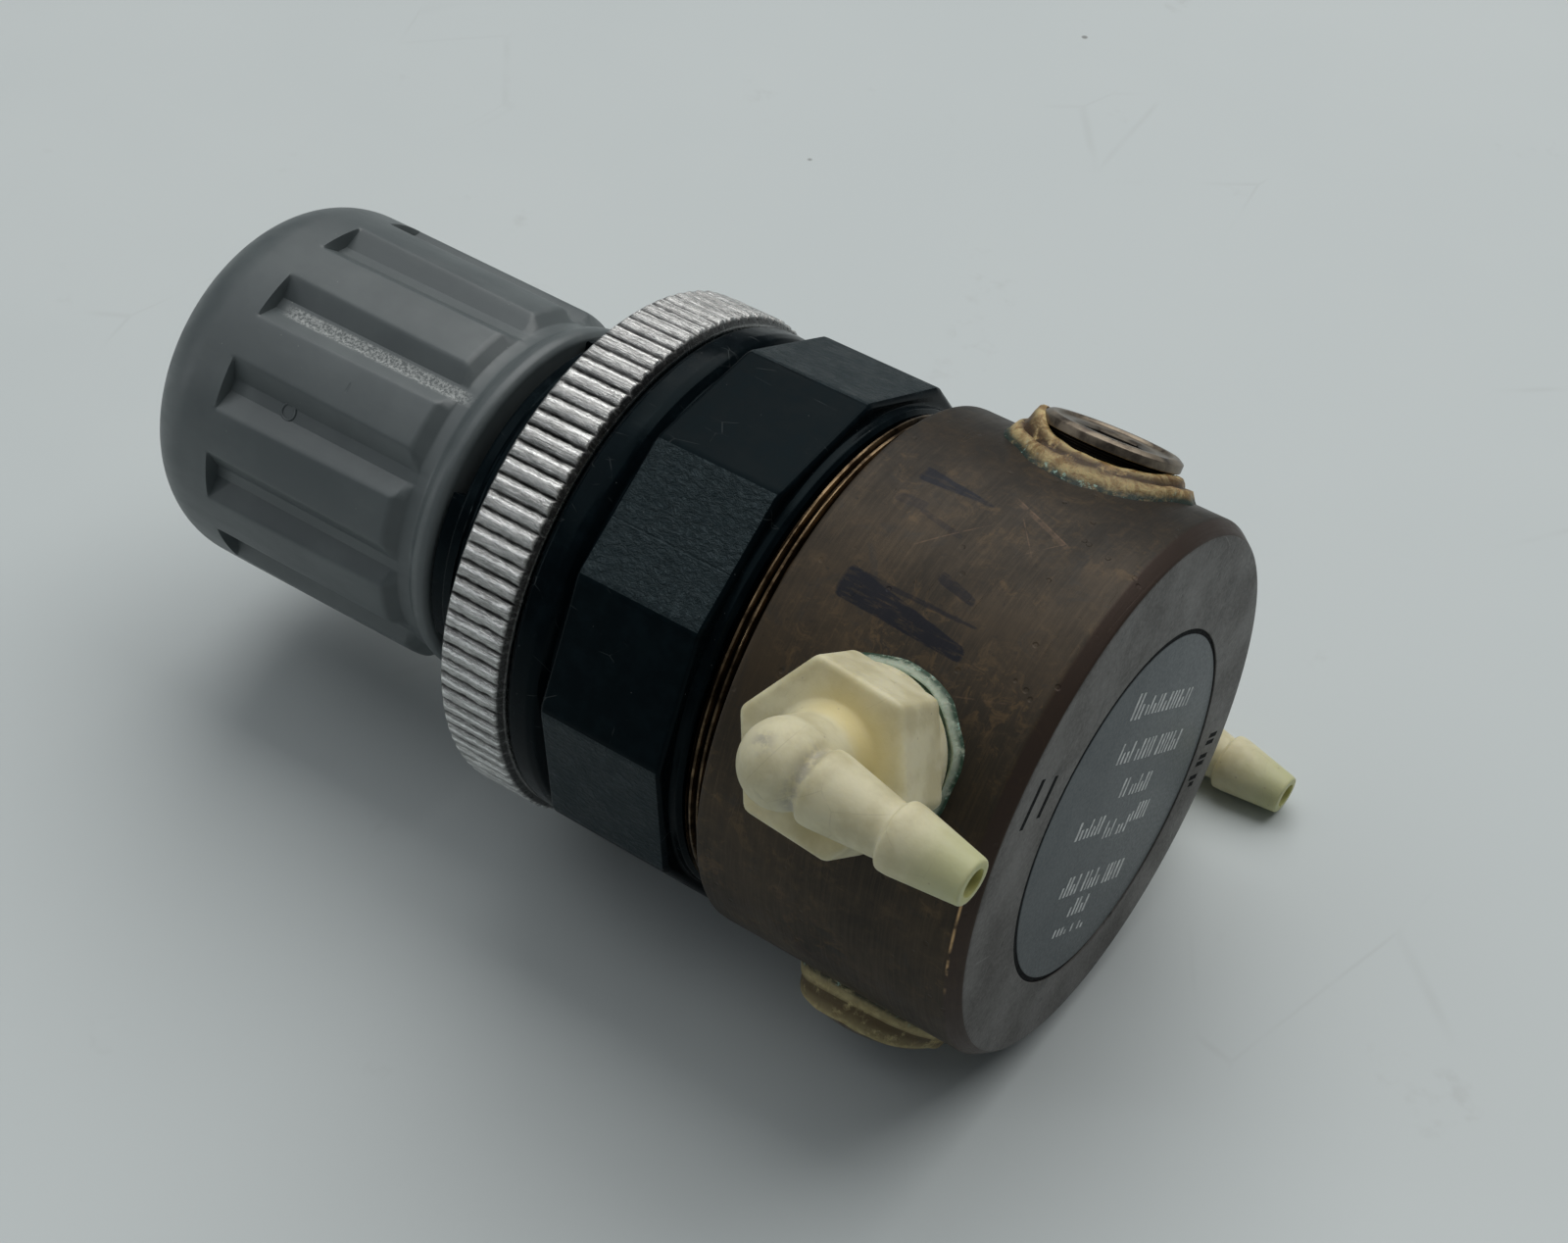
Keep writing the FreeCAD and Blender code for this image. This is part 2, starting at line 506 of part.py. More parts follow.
def main():
    os.makedirs("parts", exist_ok=True)
    save("valve_body", valve_body())
    save("label_disc", label_disc())
    save("inlet_elbow", hose_elbow(INLET_ANGLE, INLET_SWING))
    save("outlet_elbow", hose_elbow(OUTLET_ANGLE, OUTLET_SWING))
    for name, angle in (("inlet", INLET_ANGLE), ("outlet", OUTLET_ANGLE)):
        save(name + "_seal_ring",
             seal_ring(angle, SEAL_R, ELBOW_FLANGE_H, SEAL_R, ELBOW_SHANK_R + 0.02))
    for name, angle, base_r in (("upper", UPPER_PLUG_ANGLE, UPPER_SEALANT_R),
                                ("lower", LOWER_PLUG_ANGLE, LOWER_SEALANT_R)):
        save(name + "_gauge_plug", pipe_plug(angle))
        save(name + "_plug_sealant", seal_ring(angle, base_r, SEALANT_TOP_H, 5.6, PLUG_ROOT_R + 0.02))
    save("bonnet", bonnet())
    save("panel_nut", panel_nut())
    save("adjusting_knob", adjusting_knob())
    save("adjusting_screw", adjusting_screw())
    save("screw_clip", open_ring(CLIP_GROOVE_R, CLIP_R, CLIP_X, CLIP_T, 5.0))
    save("knob_stop_ring", open_ring(STOP_GROOVE_R, STOP_R, STOP_X, STOP_T, 4.0))
    save("thrust_washer", thrust_washer())
    save("spring_nut", spring_nut())
    save("range_spring", range_spring())
    save("diaphragm_plate", diaphragm_plate())
    save("diaphragm", diaphragm())
    save("valve_holder", valve_holder())
    save("valve_pad", valve_pad())
    save("relief_seat", relief_seat())
    save("seat_o_ring", seat_o_ring())
    save("clamp_ring", clamp_ring())


main()
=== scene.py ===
import json
import math

import bmesh
import bpy
import numpy as np
from mathutils import Matrix, Vector


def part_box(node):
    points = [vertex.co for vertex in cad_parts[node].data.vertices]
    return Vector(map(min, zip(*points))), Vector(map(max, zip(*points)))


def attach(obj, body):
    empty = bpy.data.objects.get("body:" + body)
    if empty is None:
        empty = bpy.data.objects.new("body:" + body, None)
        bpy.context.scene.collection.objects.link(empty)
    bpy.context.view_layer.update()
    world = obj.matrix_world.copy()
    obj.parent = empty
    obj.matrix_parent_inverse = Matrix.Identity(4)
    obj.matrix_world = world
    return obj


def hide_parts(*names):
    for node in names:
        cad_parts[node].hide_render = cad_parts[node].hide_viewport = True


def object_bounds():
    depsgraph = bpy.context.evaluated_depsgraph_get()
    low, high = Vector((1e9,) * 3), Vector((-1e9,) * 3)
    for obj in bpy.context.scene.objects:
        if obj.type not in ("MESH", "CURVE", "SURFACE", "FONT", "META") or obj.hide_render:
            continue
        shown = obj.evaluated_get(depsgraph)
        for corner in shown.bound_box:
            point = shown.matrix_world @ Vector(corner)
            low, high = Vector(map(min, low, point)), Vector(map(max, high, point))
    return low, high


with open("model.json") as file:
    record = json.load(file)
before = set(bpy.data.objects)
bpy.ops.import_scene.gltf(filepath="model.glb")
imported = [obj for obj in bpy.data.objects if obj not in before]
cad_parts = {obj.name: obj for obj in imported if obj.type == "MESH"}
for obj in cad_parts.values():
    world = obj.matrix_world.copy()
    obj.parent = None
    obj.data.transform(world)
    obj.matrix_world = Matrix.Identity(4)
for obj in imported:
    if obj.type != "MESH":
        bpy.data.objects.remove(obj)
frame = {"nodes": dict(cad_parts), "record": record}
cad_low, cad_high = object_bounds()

MM = 0.001
RNG = np.random.default_rng(42)

# Sizes in millimetres, in the CAD frame: +X to the labelled end, +Z up.
# Angles are in degrees about the main axis, from +Z towards +Y.
PORT_X = 28.05
PORT_ANGLES = {"inlet": -54.1, "upper": 35.9, "outlet": 125.9, "lower": 215.9}
SWINGS = {"inlet": -4.0, "outlet": 4.5}
BODY_R = 20.5
LABEL_AT = (0.5, -1.5)
LABEL_TILT = 34.0
KNOB_R = 14.88
FLUTE_STEP, FLUTE_TURN = 30.0, 8.0
FLAT_STEP, FLAT_TURN = 30.0, 25.5
NUT_TEETH = 96
ELBOW_AF, SOCKET_AF, HUB_AF = 11.4, 4.76, 7.12
FLOOR_REACH = 3.0  # metres


def mm_box(node):
    """Lowest and highest corner of a CAD node, in millimetres."""
    low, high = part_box(node)
    return np.array(low) / MM, np.array(high) / MM


# ---- mesh helpers
def new_object(name, data):
    made = bpy.data.objects.new(name, data)
    bpy.context.scene.collection.objects.link(made)
    return made


def set_fields(mesh, fields):
    """Point values by name, read by the materials."""
    for key, values in fields.items():
        layer = mesh.attributes.new(key, "FLOAT", "POINT")
        layer.data.foreach_set("value", np.asarray(values, np.float32))


def make_piece(name, verts, faces, materials, body, sharp, replaced=(), pick=None,
               fields=None):
    """Mesh object from millimetre points, riding on a CAD body."""
    mesh = bpy.data.meshes.new(name)
    mesh.from_pydata((np.asarray(verts, float) * MM).tolist(), [], [list(f) for f in faces])
    set_fields(mesh, fields or {})
    work = bmesh.new()
    work.from_mesh(mesh)
    bmesh.ops.remove_doubles(work, verts=work.verts, dist=1e-6)
    bmesh.ops.recalc_face_normals(work, faces=work.faces)
    work.to_mesh(mesh)
    work.free()
    dress(name, mesh, materials, body, sharp, replaced, pick)


def dress(name, mesh, materials, body, sharp, replaced=(), pick=None):
    """Piece from a finished mesh; pick chooses each face's material by centre and normal."""
    for material in materials:
        mesh.materials.append(material)
    mesh.shade_smooth()
    mesh.set_sharp_from_angle(angle=math.radians(sharp))
    if pick is not None:
        for face in mesh.polygons:
            face.material_index = pick(face.center / MM, face.normal)
    piece = new_object(name, mesh)
    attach(piece, body)
    if replaced:
        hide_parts(*replaced)


def marked(pairs, *marks):
    """Stations from (x, radius) pairs that share the same marks."""
    return [(*pair, *marks) for pair in pairs]


def soften(points, size, steps=3):
    """Outline with every inner corner rounded; columns after the first two are carried along."""
    rows = [np.array(p, float) for p in points]
    out = [rows[0]]
    for before, corner, after in zip(rows, rows[1:], rows[2:]):
        back, on = before - corner, after - corner
        back_len, on_len = np.linalg.norm(back[:2]), np.linalg.norm(on[:2])
        cut = min(size, 0.45 * back_len, 0.45 * on_len)
        start, end = corner + back / back_len * cut, corner + on / on_len * cut
        for i in range(steps + 1):
            t = i / steps
            out.append((1 - t) ** 2 * start + 2 * t * (1 - t) * corner + t * t * end)
    out.append(rows[-1])
    return np.array(out)


def refine(stations, step, beyond=0.0):
    """Extra stations so that no run along the outline is longer than step, beyond a radius."""
    out = [stations[0]]
    for a, b in zip(stations, stations[1:]):
        run = np.linalg.norm((b - a)[:2]) if min(a[1], b[1]) >= beyond else 0
        parts = max(1, int(np.ceil(run / step)))
        out += [a + (b - a) * i / parts for i in range(1, parts + 1)]
    return np.array(out)


def grid_faces(rows, columns, closed_rows=False):
    """Quads of a grid of points whose rows are rings."""
    faces = []
    for i in range(rows if closed_rows else rows - 1):
        for j in range(columns):
            k = (j + 1) % columns
            n = (i + 1) % rows
            faces.append((i * columns + j, i * columns + k, n * columns + k, n * columns + j))
    return faces


def turned(stations, angles, shape=None):
    """Points and faces about the main axis, from (x, radius) stations; shape bends the radius."""
    stations = np.asarray(stations, float)
    x = np.repeat(stations[:, :1], len(angles), 1)
    radius = np.repeat(stations[:, 1:2], len(angles), 1)
    if shape is not None:
        radius = shape(stations, x, radius, angles[None, :])
    turn = np.radians(angles)[None, :]
    points = np.stack([x, radius * np.sin(turn), radius * np.cos(turn)], -1).reshape(-1, 3)
    return points, grid_faces(len(stations), len(angles))


def even_angles(count):
    return np.arange(count) * 360.0 / count


def sector_angles(half, step, first):
    """Angles repeated and mirrored in every sector, for corners that need exact edges."""
    offsets = [-v for v in reversed(half[1:])] + half + [step / 2]
    return np.concatenate([first + i * step + np.array(offsets)
                           for i in range(int(round(360 / step)))])


def folded(angles, step, centre):
    """Angle from the nearest of the repeated centres."""
    return (angles - centre + step / 2) % step - step / 2


def port_matrix(angle, swing=0.0):
    """From a port's own axes (+Z outwards, +X along the body) to the CAD frame, in millimetres."""
    return (Matrix.Rotation(math.radians(-angle), 4, "X") @ Matrix.Translation((PORT_X, 0, 0))
            @ Matrix.Rotation(math.radians(swing), 4, "Z"))


def placed(points, matrix):
    m = np.array(matrix)
    return np.asarray(points) @ m[:3, :3].T + m[:3, 3]


def smooth_step(low, high, value):
    t = np.clip((value - low) / (high - low), 0, 1)
    return t * t * (3 - 2 * t)


class Ripple:
    """Smooth seeded noise of angle, with period 360 degrees."""

    def __init__(self, waves, falloff=0.7):
        self.order = np.arange(1, waves + 1)
        self.height = RNG.normal(size=waves) / self.order ** falloff
        self.phase = RNG.uniform(0, 2 * math.pi, waves)
        self.height /= np.sqrt((self.height ** 2).sum() / 2)

    def __call__(self, degrees):
        a = np.radians(np.asarray(degrees, float))[..., None]
        return (self.height * np.sin(self.order * a + self.phase)).sum(-1)


# ---- material helpers
class Shader:
    """A Principled material with short calls for the nodes that feed it."""

    def __init__(self, name, colour, roughness, metallic=0.0, **sockets):
        self.material = bpy.data.materials.new(name)
        self.material.use_nodes = True
        self.material.diffuse_color = (*colour, 1)
        self.tree = self.material.node_tree
        self.shader = self.tree.nodes["Principled BSDF"]
        self.set("Base Color", (*colour, 1))
        self.set("Roughness", roughness)
        self.set("Metallic", metallic)
        for key, value in sockets.items():
            self.set(key.replace("_", " "), value)
        coord = self.node("ShaderNodeTexCoord").outputs["Object"]
        self.place = self.node("ShaderNodeVectorMath", {0: coord, "Scale": 1 / MM},
                               operation="SCALE").outputs[0]
        self.split = None

    def node(self, kind, inputs=None, **settings):
        """New node with its settings, and values or sockets joined to its inputs."""
        made = self.tree.nodes.new(kind)
        for key, value in settings.items():
            setattr(made, key, value)
        for key, value in (inputs or {}).items():
            self.join(value, made.inputs[key])
        return made

    def join(self, source, target):
        if isinstance(source, bpy.types.NodeSocket):
            self.tree.links.new(source, target)
        else:
            target.default_value = source

    def set(self, socket, value):
        self.join(value, self.shader.inputs[socket])

    def axes(self):
        """x along the main axis, angle in degrees from +Z towards +Y, and radius."""
        if self.split is None:
            x, y, z = self.node("ShaderNodeSeparateXYZ", {0: self.place}).outputs
            angle = self.times(self.math("ARCTAN2", y, z), 180 / math.pi)
            radius = self.math("SQRT", self.plus(self.times(y, y), self.times(z, z)))
            self.split = (x, angle, radius)
        return self.split

    def math(self, operation, a, b=0.0):
        return self.node("ShaderNodeMath", {0: a, 1: b}, operation=operation).outputs[0]

    def times(self, a, b):
        return self.math("MULTIPLY", a, b)

    def plus(self, a, b):
        return self.math("ADD", a, b)

    def minus(self, a, b):
        return self.math("SUBTRACT", a, b)

    def flip(self, value):
        return self.minus(1.0, value)

    def stretched(self, factors):
        """Coordinates scaled along each axis, for streaks."""
        return self.node("ShaderNodeVectorMath", {0: self.place, 1: factors},
                         operation="MULTIPLY").outputs[0]

    def wrapped(self, along, around):
        """Coordinates laid out on the cylinder: along the axis and round it."""
        x, angle, radius = self.axes()
        made = self.node("ShaderNodeCombineXYZ")
        self.join(self.times(x, along), made.inputs[0])
        self.join(self.times(angle, around), made.inputs[1])
        self.join(radius, made.inputs[2])
        return made.outputs[0]

    def noise(self, scale, detail, rough=0.55, where=None, distortion=0.0):
        return self.node("ShaderNodeTexNoise", {
            "Vector": where or self.place, "Scale": scale, "Detail": detail,
            "Roughness": rough, "Distortion": distortion}).outputs["Fac"]

    def cells(self, scale, where=None, feature="F1"):
        return self.node("ShaderNodeTexVoronoi", {"Vector": where or self.place, "Scale": scale},
                         feature=feature).outputs["Distance"]

    def span(self, value, low, high, to_low=0.0, to_high=1.0):
        """Smooth change from to_low to to_high as the value goes from low to high."""
        return self.node("ShaderNodeMapRange", {
            "Value": value, "From Min": low, "From Max": high, "To Min": to_low,
            "To Max": to_high}, interpolation_type="SMOOTHSTEP").outputs[0]

    def band(self, value, low, high, soft):
        rise = self.span(value, low - soft, low + soft)
        fall = self.span(value, high - soft, high + soft, 1.0, 0.0)
        return self.times(rise, fall)

    def dots(self, scale, low, high, strength):
        """Small soft spots."""
        return self.span(self.cells(scale), low, high, strength, 0.0)

    def patches(self, scale, detail, low, high):
        """1 in cloudy patches of noise, 0 between them."""
        return self.span(self.noise(scale, detail), low, high)

    def hairlines(self, scale, factors, width, *patches):
        """Thin wandering lines, broken off where the patches end."""
        edge = self.cells(scale, self.stretched(factors), "DISTANCE_TO_EDGE")
        return self.times(self.span(edge, 0.0, width, 1, 0), self.patches(*patches))

    def field(self, name):
        return self.node("ShaderNodeAttribute", attribute_name=name).outputs["Fac"]

    def mix(self, amount, a, b):
        """From colour a to colour b, each a tuple or a socket."""
        a, b = [(*c, 1) if isinstance(c, tuple) else c for c in (a, b)]
        return self.node("ShaderNodeMix", {0: amount, 6: a, 7: b}, data_type="RGBA").outputs[2]

    def bump(self, height, distance, strength, below=None):
        """Bump of a height of 0 to 1, where 1 is distance millimetres."""
        made = self.node("ShaderNodeBump", {"Strength": strength, "Distance": distance * MM,
                                            "Height": height})
        if below is not None:
            self.join(below, made.inputs["Normal"])
        return made.outputs[0]

    def coat(self, amount, colour):
        """Another colour over the tone so far."""
        self.tone = self.mix(amount, self.tone, colour)

    def finish(self, roughness, normal):
        """Material with its tone, roughness and bumps joined up."""
        self.set("Base Color", self.tone)
        self.set("Roughness", roughness)
        self.set("Normal", normal)
        return self.material


# ---- materials
def pen_strokes(s, x, angle):
    """Blotted strokes of a black marker, as on the body beside the inlet."""
    ink_edge = s.noise(1.1, 6, 0.75, s.stretched((0.55, 1.6, 1.6)))
    ink_gap = s.noise(0.9, 4, 0.7, s.stretched((0.5, 3.0, 3.0)))
    # from x, to x, angle at the start, degrees per mm, half width, its change per mm, strength
    for x0, x1, a0, slope, half, taper, amount in (
            (21.0, 31.0, -28.2, -0.34, 3.7, -0.2, 0.95),
            (21.8, 31.0, -26.0, 0.02, 1.0, -0.05, 0.7),
            (20.9, 26.8, -0.6, -0.06, 2.4, -0.32, 0.95),
            (26.6, 29.8, -19.6, -0.7, 1.5, -0.1, 0.7),
            (22.6, 26.4, -9.0, -0.5, 0.9, 0.0, 0.45),
            (20.6, 23.0, -8.4, 0.2, 1.3, 0.1, 0.4)):
        along = s.minus(x, x0)
        across = s.minus(angle, s.plus(s.times(along, slope), a0))
        width = s.plus(s.times(along, taper), half)
        inside = s.minus(width, s.math("ABSOLUTE", across))
        patch = s.times(s.span(inside, -0.5, 0.9), s.band(x, x0, x1, 0.6))
        patch = s.span(s.minus(patch, s.times(ink_edge, 0.85)), 0.0, 0.34)
        patch = s.times(patch, s.span(ink_gap, 0.34, 0.5, 0.35 * amount, amount))
        s.coat(patch, (0.01, 0.011, 0.016))


def bright_scrapes(s, x, angle):
    """Fine scrapes down to clean metal."""
    fade = s.span(s.noise(1.2, 4, 0.7), 0.36, 0.58)
    # angle at the start, degrees per mm, from x, to x, half width, strength
    for a, slope, x0, x1, half, amount in (
            (3.2, -1.15, 27.3, 32.6, 0.5, 0.22), (3.8, -1.15, 27.3, 32.4, 0.14, 0.45),
            (-0.6, -3.3, 28.7, 30.9, 0.16, 0.35), (-9.0, 3.6, 30.2, 32.2, 0.14, 0.3),
            (-16.0, 3.2, 24.0, 27.4, 0.16, 0.3), (-40.0, 0.9, 30.0, 35.0, 0.14, 0.25)):
        across = s.minus(s.minus(angle, a), s.times(s.minus(x, x0), slope))
        mark = s.times(s.band(across, -half, half, 0.14), s.band(x, x0, x1, 0.3))
        s.coat(s.times(s.times(mark, fade), amount), (0.2, 0.125, 0.08))


def dark_chamfer_and_rim_highlight(s, x, angle):
    """Darker end chamfer, with a bright painted highlight along its corner below the inlet."""
    s.coat(s.span(x, 37.2, 37.5, 0, 0.8), (0.05, 0.033, 0.026))
    # Painted highlight: a bright band along the chamfer's corner, only on the lower side below the
    # inlet.
    rim_highlight = s.times(s.band(angle, -93, -64, 3.0), s.patches(0.5, 3, 0.4, 0.55))
    s.coat(s.times(s.band(x, 37.36, 37.5, 0.05), rim_highlight), (0.62, 0.4, 0.2))


def bronze_material(name, colour, worn, dark, face=False):
    """Old bronze: cloudy patina on the round wall, greyer and finer on the end face."""
    s = Shader(name, colour, 0.42, 0.6 if face else 0.42, Specular_IOR_Level=0.24)
    x, angle, _ = s.axes()
    cloud = s.noise(0.16, 5, 0.62)
    blotch = s.noise(0.55, 6, 0.7, distortion=0.6)
    if face:
        lines = s.noise(3.2, 5, 0.65)
    else:
        lines = s.noise(1.0, 6, 0.75, s.stretched((5.5, 0.22, 0.22)))
    s.tone = s.mix(s.span(cloud, 0.3, 0.7), dark, colour)
    s.coat(s.span(blotch, 0.5, 0.78, 0, 0.5), worn)
    s.coat(s.span(lines, 0.42, 0.72, 0, 0.22), worn)
    stain = s.span(s.noise(0.34, 5, 0.7, distortion=0.8), 0.54, 0.7, 0, 0.45)
    s.coat(stain, (0.03, 0.031, 0.03))
    s.coat(s.span(s.noise(1.7, 3, 0.5), 0.64, 0.74, 0, 0.7), dark)
    if not face:
        gold = s.times(s.span(s.noise(0.7, 6, 0.72, distortion=1.0), 0.5, 0.66),
                       s.patches(0.13, 3, 0.42, 0.6))
        s.coat(s.times(gold, 0.42), (0.165, 0.105, 0.05))
        # Painted shade: the top of the round wall is darkened in blotches, to damp the light it
        # reflects.
        top_painted_shade = s.times(s.span(angle, -40, 14), s.span(blotch, 0.3, 0.62, 0.78, 0.5))
        s.coat(top_painted_shade, (0.02, 0.0178, 0.015))
    rough = s.span(s.plus(s.times(lines, 0.5), s.times(cloud, 0.6)), 0.35, 0.75, 0.58, 0.4)
    scratch = s.hairlines(1.0, (0.9, 0.09, 0.12), 0.01, 0.22, 2, 0.56, 0.66)
    s.coat(s.times(scratch, 0.6), worn)
    if not face:
        pen_strokes(s, x, angle)
        bright_scrapes(s, x, angle)
        dark_chamfer_and_rim_highlight(s, x, angle)
    pits = s.times(s.dots(0.9, 0.1, 0.22, 1), s.patches(0.5, 2, 0.52, 0.62))
    ground = s.bump(lines, 0.01 if not face else 0.014, 0.8)
    ground = s.bump(s.flip(pits), 0.05, 0.7, ground)
    ground = s.bump(s.flip(scratch), 0.02, 0.7, ground)
    return s.finish(rough, ground)


def spigot_material():
    """Brass thread at the bonnet: bright crests over roots painted near black as shade."""
    s = Shader("bronze_thread", (0.3, 0.19, 0.09), 0.32, 1.0)
    radius = s.axes()[2]
    worn = s.noise(1.2, 4, 0.6, s.stretched((3.0, 0.5, 0.5)))
    # Painted shade: darker towards the thread's roots, by radius.
    s.tone = s.mix(s.span(radius, 18.66, 18.94), (0.01, 0.008, 0.006), (0.2, 0.14, 0.08))
    dull = s.span(s.noise(0.45, 4, 0.7), 0.4, 0.62, 0.15, 0.95)
    s.coat(dull, (0.03, 0.02, 0.012))
    s.coat(s.span(worn, 0.4, 0.7, 0, 0.55), (0.05, 0.033, 0.018))
    return s.finish(s.span(worn, 0.3, 0.7, 0.25, 0.5), s.bump(worn, 0.02, 0.6))


def knob_material():
    """Satin slate plastic with rubbed lighter patches, a painted highlight streak down one flute,
    dust and a fine mould seam.
    """
    s = Shader("knob_slate", (0.085, 0.1, 0.102), 0.44, 0.0, Specular_IOR_Level=0.62)
    x, angle, _ = s.axes()
    cloud = s.noise(0.12, 4, 0.6)
    fine = s.noise(5.0, 4, 0.6)
    rub = s.noise(0.7, 5, 0.7, s.stretched((0.25, 1.0, 1.0)))
    s.tone = s.mix(s.span(cloud, 0.35, 0.65), (0.08, 0.096, 0.099), (0.101, 0.119, 0.121))
    s.coat(s.span(rub, 0.55, 0.75, 0, 0.3), (0.125, 0.14, 0.138))
    # Painted highlight: a lighter streak with bright specks along the bottom of one flute, where
    # the light is reflected.
    highlight_streak = s.times(s.band(angle, -25.6, -21.2, 0.6), s.band(x, -31.8, -14.6, 1.0))
    highlight_streak = s.times(highlight_streak, s.span(s.noise(0.5, 3, 0.6), 0.28, 0.5, 0.6, 1.0))
    speck = s.times(highlight_streak, s.span(s.noise(4.2, 3, 0.8), 0.4, 0.6))
    s.coat(s.times(highlight_streak, 0.3), (0.17, 0.185, 0.18))
    s.coat(s.times(speck, 0.85), (0.44, 0.46, 0.45))
    s.coat(s.dots(0.55, 0.018, 0.04, 0.5), (0.26, 0.27, 0.26))
    rough = s.span(s.plus(rub, s.times(highlight_streak, 0.5)), 0.3, 1.0, 0.38, 0.62)
    seam = s.times(s.band(x, -23.12, -22.98, 0.05), s.band(angle, -38.4, -35.6, 0.6))
    ground = s.bump(fine, 0.006, 0.5)
    ground = s.bump(speck, 0.03, 0.7, ground)
    ground = s.bump(s.flip(seam), 0.04, 0.8, ground)
    return s.finish(rough, ground)


def nut_material():
    """Scraped bright plating: drawn ridges, a painted glint along each tooth and grooves painted
    near black as shade.
    """
    s = Shader("nut_bright", (0.74, 0.74, 0.72), 0.25, 1.0)
    _, angle, radius = s.axes()
    drawn = s.noise(2.2, 5, 0.8, s.wrapped(0.16, 2.2))
    worn = s.noise(1.0, 5, 0.75, s.wrapped(0.5, 0.9))
    chip = s.noise(2.4, 3, 0.7, s.wrapped(0.8, 1.0))
    grime = s.noise(0.35, 4, 0.65)
    shake = s.times(s.noise(1.0, 3, 0.6, s.wrapped(1.4, 0.3)), 0.22)
    phase = s.math("FRACT", s.plus(s.times(angle, NUT_TEETH / 360), shake))
    flank = s.span(radius, 19.95, 20.2, 1, 0)
    outer = s.span(radius, 19.5, 19.7)
    groove_shade = s.times(s.times(flank, outer), s.span(worn, 0.28, 0.5, 0.6, 1.0))
    s.tone = s.mix(s.span(drawn, 0.38, 0.62), (0.3, 0.3, 0.29), (0.74, 0.74, 0.72))
    glint = s.times(s.band(phase, 0.2, 0.34, 0.04), s.span(worn, 0.36, 0.52, 0.15, 1.0))
    s.coat(s.times(glint, outer), (0.99, 0.99, 0.97))
    s.coat(s.span(chip, 0.6, 0.7, 0, 0.7), (0.14, 0.14, 0.13))
    s.coat(s.span(grime, 0.55, 0.75, 0, 0.35), (0.28, 0.27, 0.25))
    # Painted shade: the knurl grooves darkened to near black.
    s.coat(s.times(groove_shade, 0.94), (0.03, 0.03, 0.03))
    rough = s.span(s.plus(drawn, s.times(worn, 0.5)), 0.5, 1.0, 0.3, 0.08)
    return s.finish(rough, s.bump(worn, 0.08, 0.9, s.bump(drawn, 0.06, 0.9)))


def black_material(kind):
    """Moulded black plastic: gloss on the collar, satin or leathery grain on the flats."""
    base, rough, shine = {"gloss": ((0.0018, 0.0038, 0.005), 0.17, 0.055),
                          "satin": ((0.0022, 0.0048, 0.0062), 0.34, 0.045),
                          "grain": ((0.0022, 0.0045, 0.0057), 0.47, 0.42)}[kind]
    s = Shader("black_" + kind, base, rough, 0.0, Specular_IOR_Level=shine,
               Specular_Tint=(0.66, 0.92, 1.0, 1))
    angle = s.axes()[1]
    rub = s.noise(0.45, 5, 0.7)
    dust = s.dots(0.8, 0.015, 0.035, 0.55)
    s.tone = s.mix(s.span(rub, 0.4, 0.75), base, tuple(1.7 * c for c in base))
    if kind == "grain":
        leather = s.noise(1.9, 5, 0.66, s.stretched((0.75, 1.2, 1.2)), 0.5)
        creases = s.span(s.cells(2.7, feature="DISTANCE_TO_EDGE"), 0.0, 0.14)
        # Painted highlight: a lighter colour on the raised bumps of the grain; painted shade keeps
        # the creases black.
        s.coat(s.span(leather, 0.5, 0.66, 0, 0.7), (0.026, 0.034, 0.038))
        s.coat(s.span(creases, 0.0, 1.0, 0.25, 0.0), (0.002, 0.002, 0.003))
        seam = s.band(angle, -37.3, -36.9, 0.12)
        ground = s.bump(leather, 0.38, 1.0)
        ground = s.bump(creases, 0.03, 0.6, ground)
        ground = s.bump(s.flip(seam), 0.06, 0.8, ground)
    else:
        lines = s.noise(1.0, 5, 0.7, s.stretched((0.6, 2.4, 2.4)))
        scratch = s.hairlines(0.35, (0.5, 1.6, 0.9), 0.012, 0.4, 2, 0.56, 0.66)
        s.coat(s.times(scratch, 0.35), (0.1, 0.11, 0.11))
        ground = s.bump(lines, 0.012, 0.6)
        ground = s.bump(s.flip(scratch), 0.01, 0.5, ground)
    s.coat(dust, (0.22, 0.23, 0.23))
    return s.finish(s.span(rub, 0.3, 0.7, rough - 0.05, rough + 0.12), ground)


def nylon_material(name):
    """Aged cream nylon, yellower in its recess and greener towards the barb's tip."""
    s = Shader(name, (0.72, 0.67, 0.5), 0.42, 0.0, Subsurface_Weight=0.35,
               Subsurface_Scale=0.0016, Specular_IOR_Level=0.3)
    s.set("Subsurface Radius", (1.0, 0.85, 0.45))
    cloud = s.noise(0.35, 4, 0.6)
    fine = s.noise(3.0, 4, 0.65)
    s.tone = s.mix(s.span(cloud, 0.35, 0.65), (0.55, 0.5, 0.315), (0.665, 0.62, 0.425))
    crack = s.hairlines(0.26, (1.0, 0.8, 1.2), 0.012, 0.3, 3, 0.5, 0.6)
    s.coat(s.times(crack, 0.25), (0.3, 0.26, 0.18))
    s.coat(s.field("recess"), (0.68, 0.575, 0.275))
    s.coat(s.field("tip"), (0.5, 0.52, 0.29))
    smudge = s.times(s.field("smudge"), s.span(s.noise(0.9, 4, 0.7), 0.4, 0.58))
    s.coat(smudge, (0.26, 0.25, 0.24))
    speck = s.dots(0.9, 0.05, 0.1, 0.55)
    s.coat(s.times(speck, s.patches(0.4, 2, 0.5, 0.6)), (0.36, 0.31, 0.22))
    s.coat(s.field("rim"), (0.5, 0.5, 0.22))
    ground = s.bump(fine, 0.025, 0.6, s.bump(cloud, 0.12, 0.5))
    return s.finish(s.span(cloud, 0.3, 0.7, 0.36, 0.52), ground)


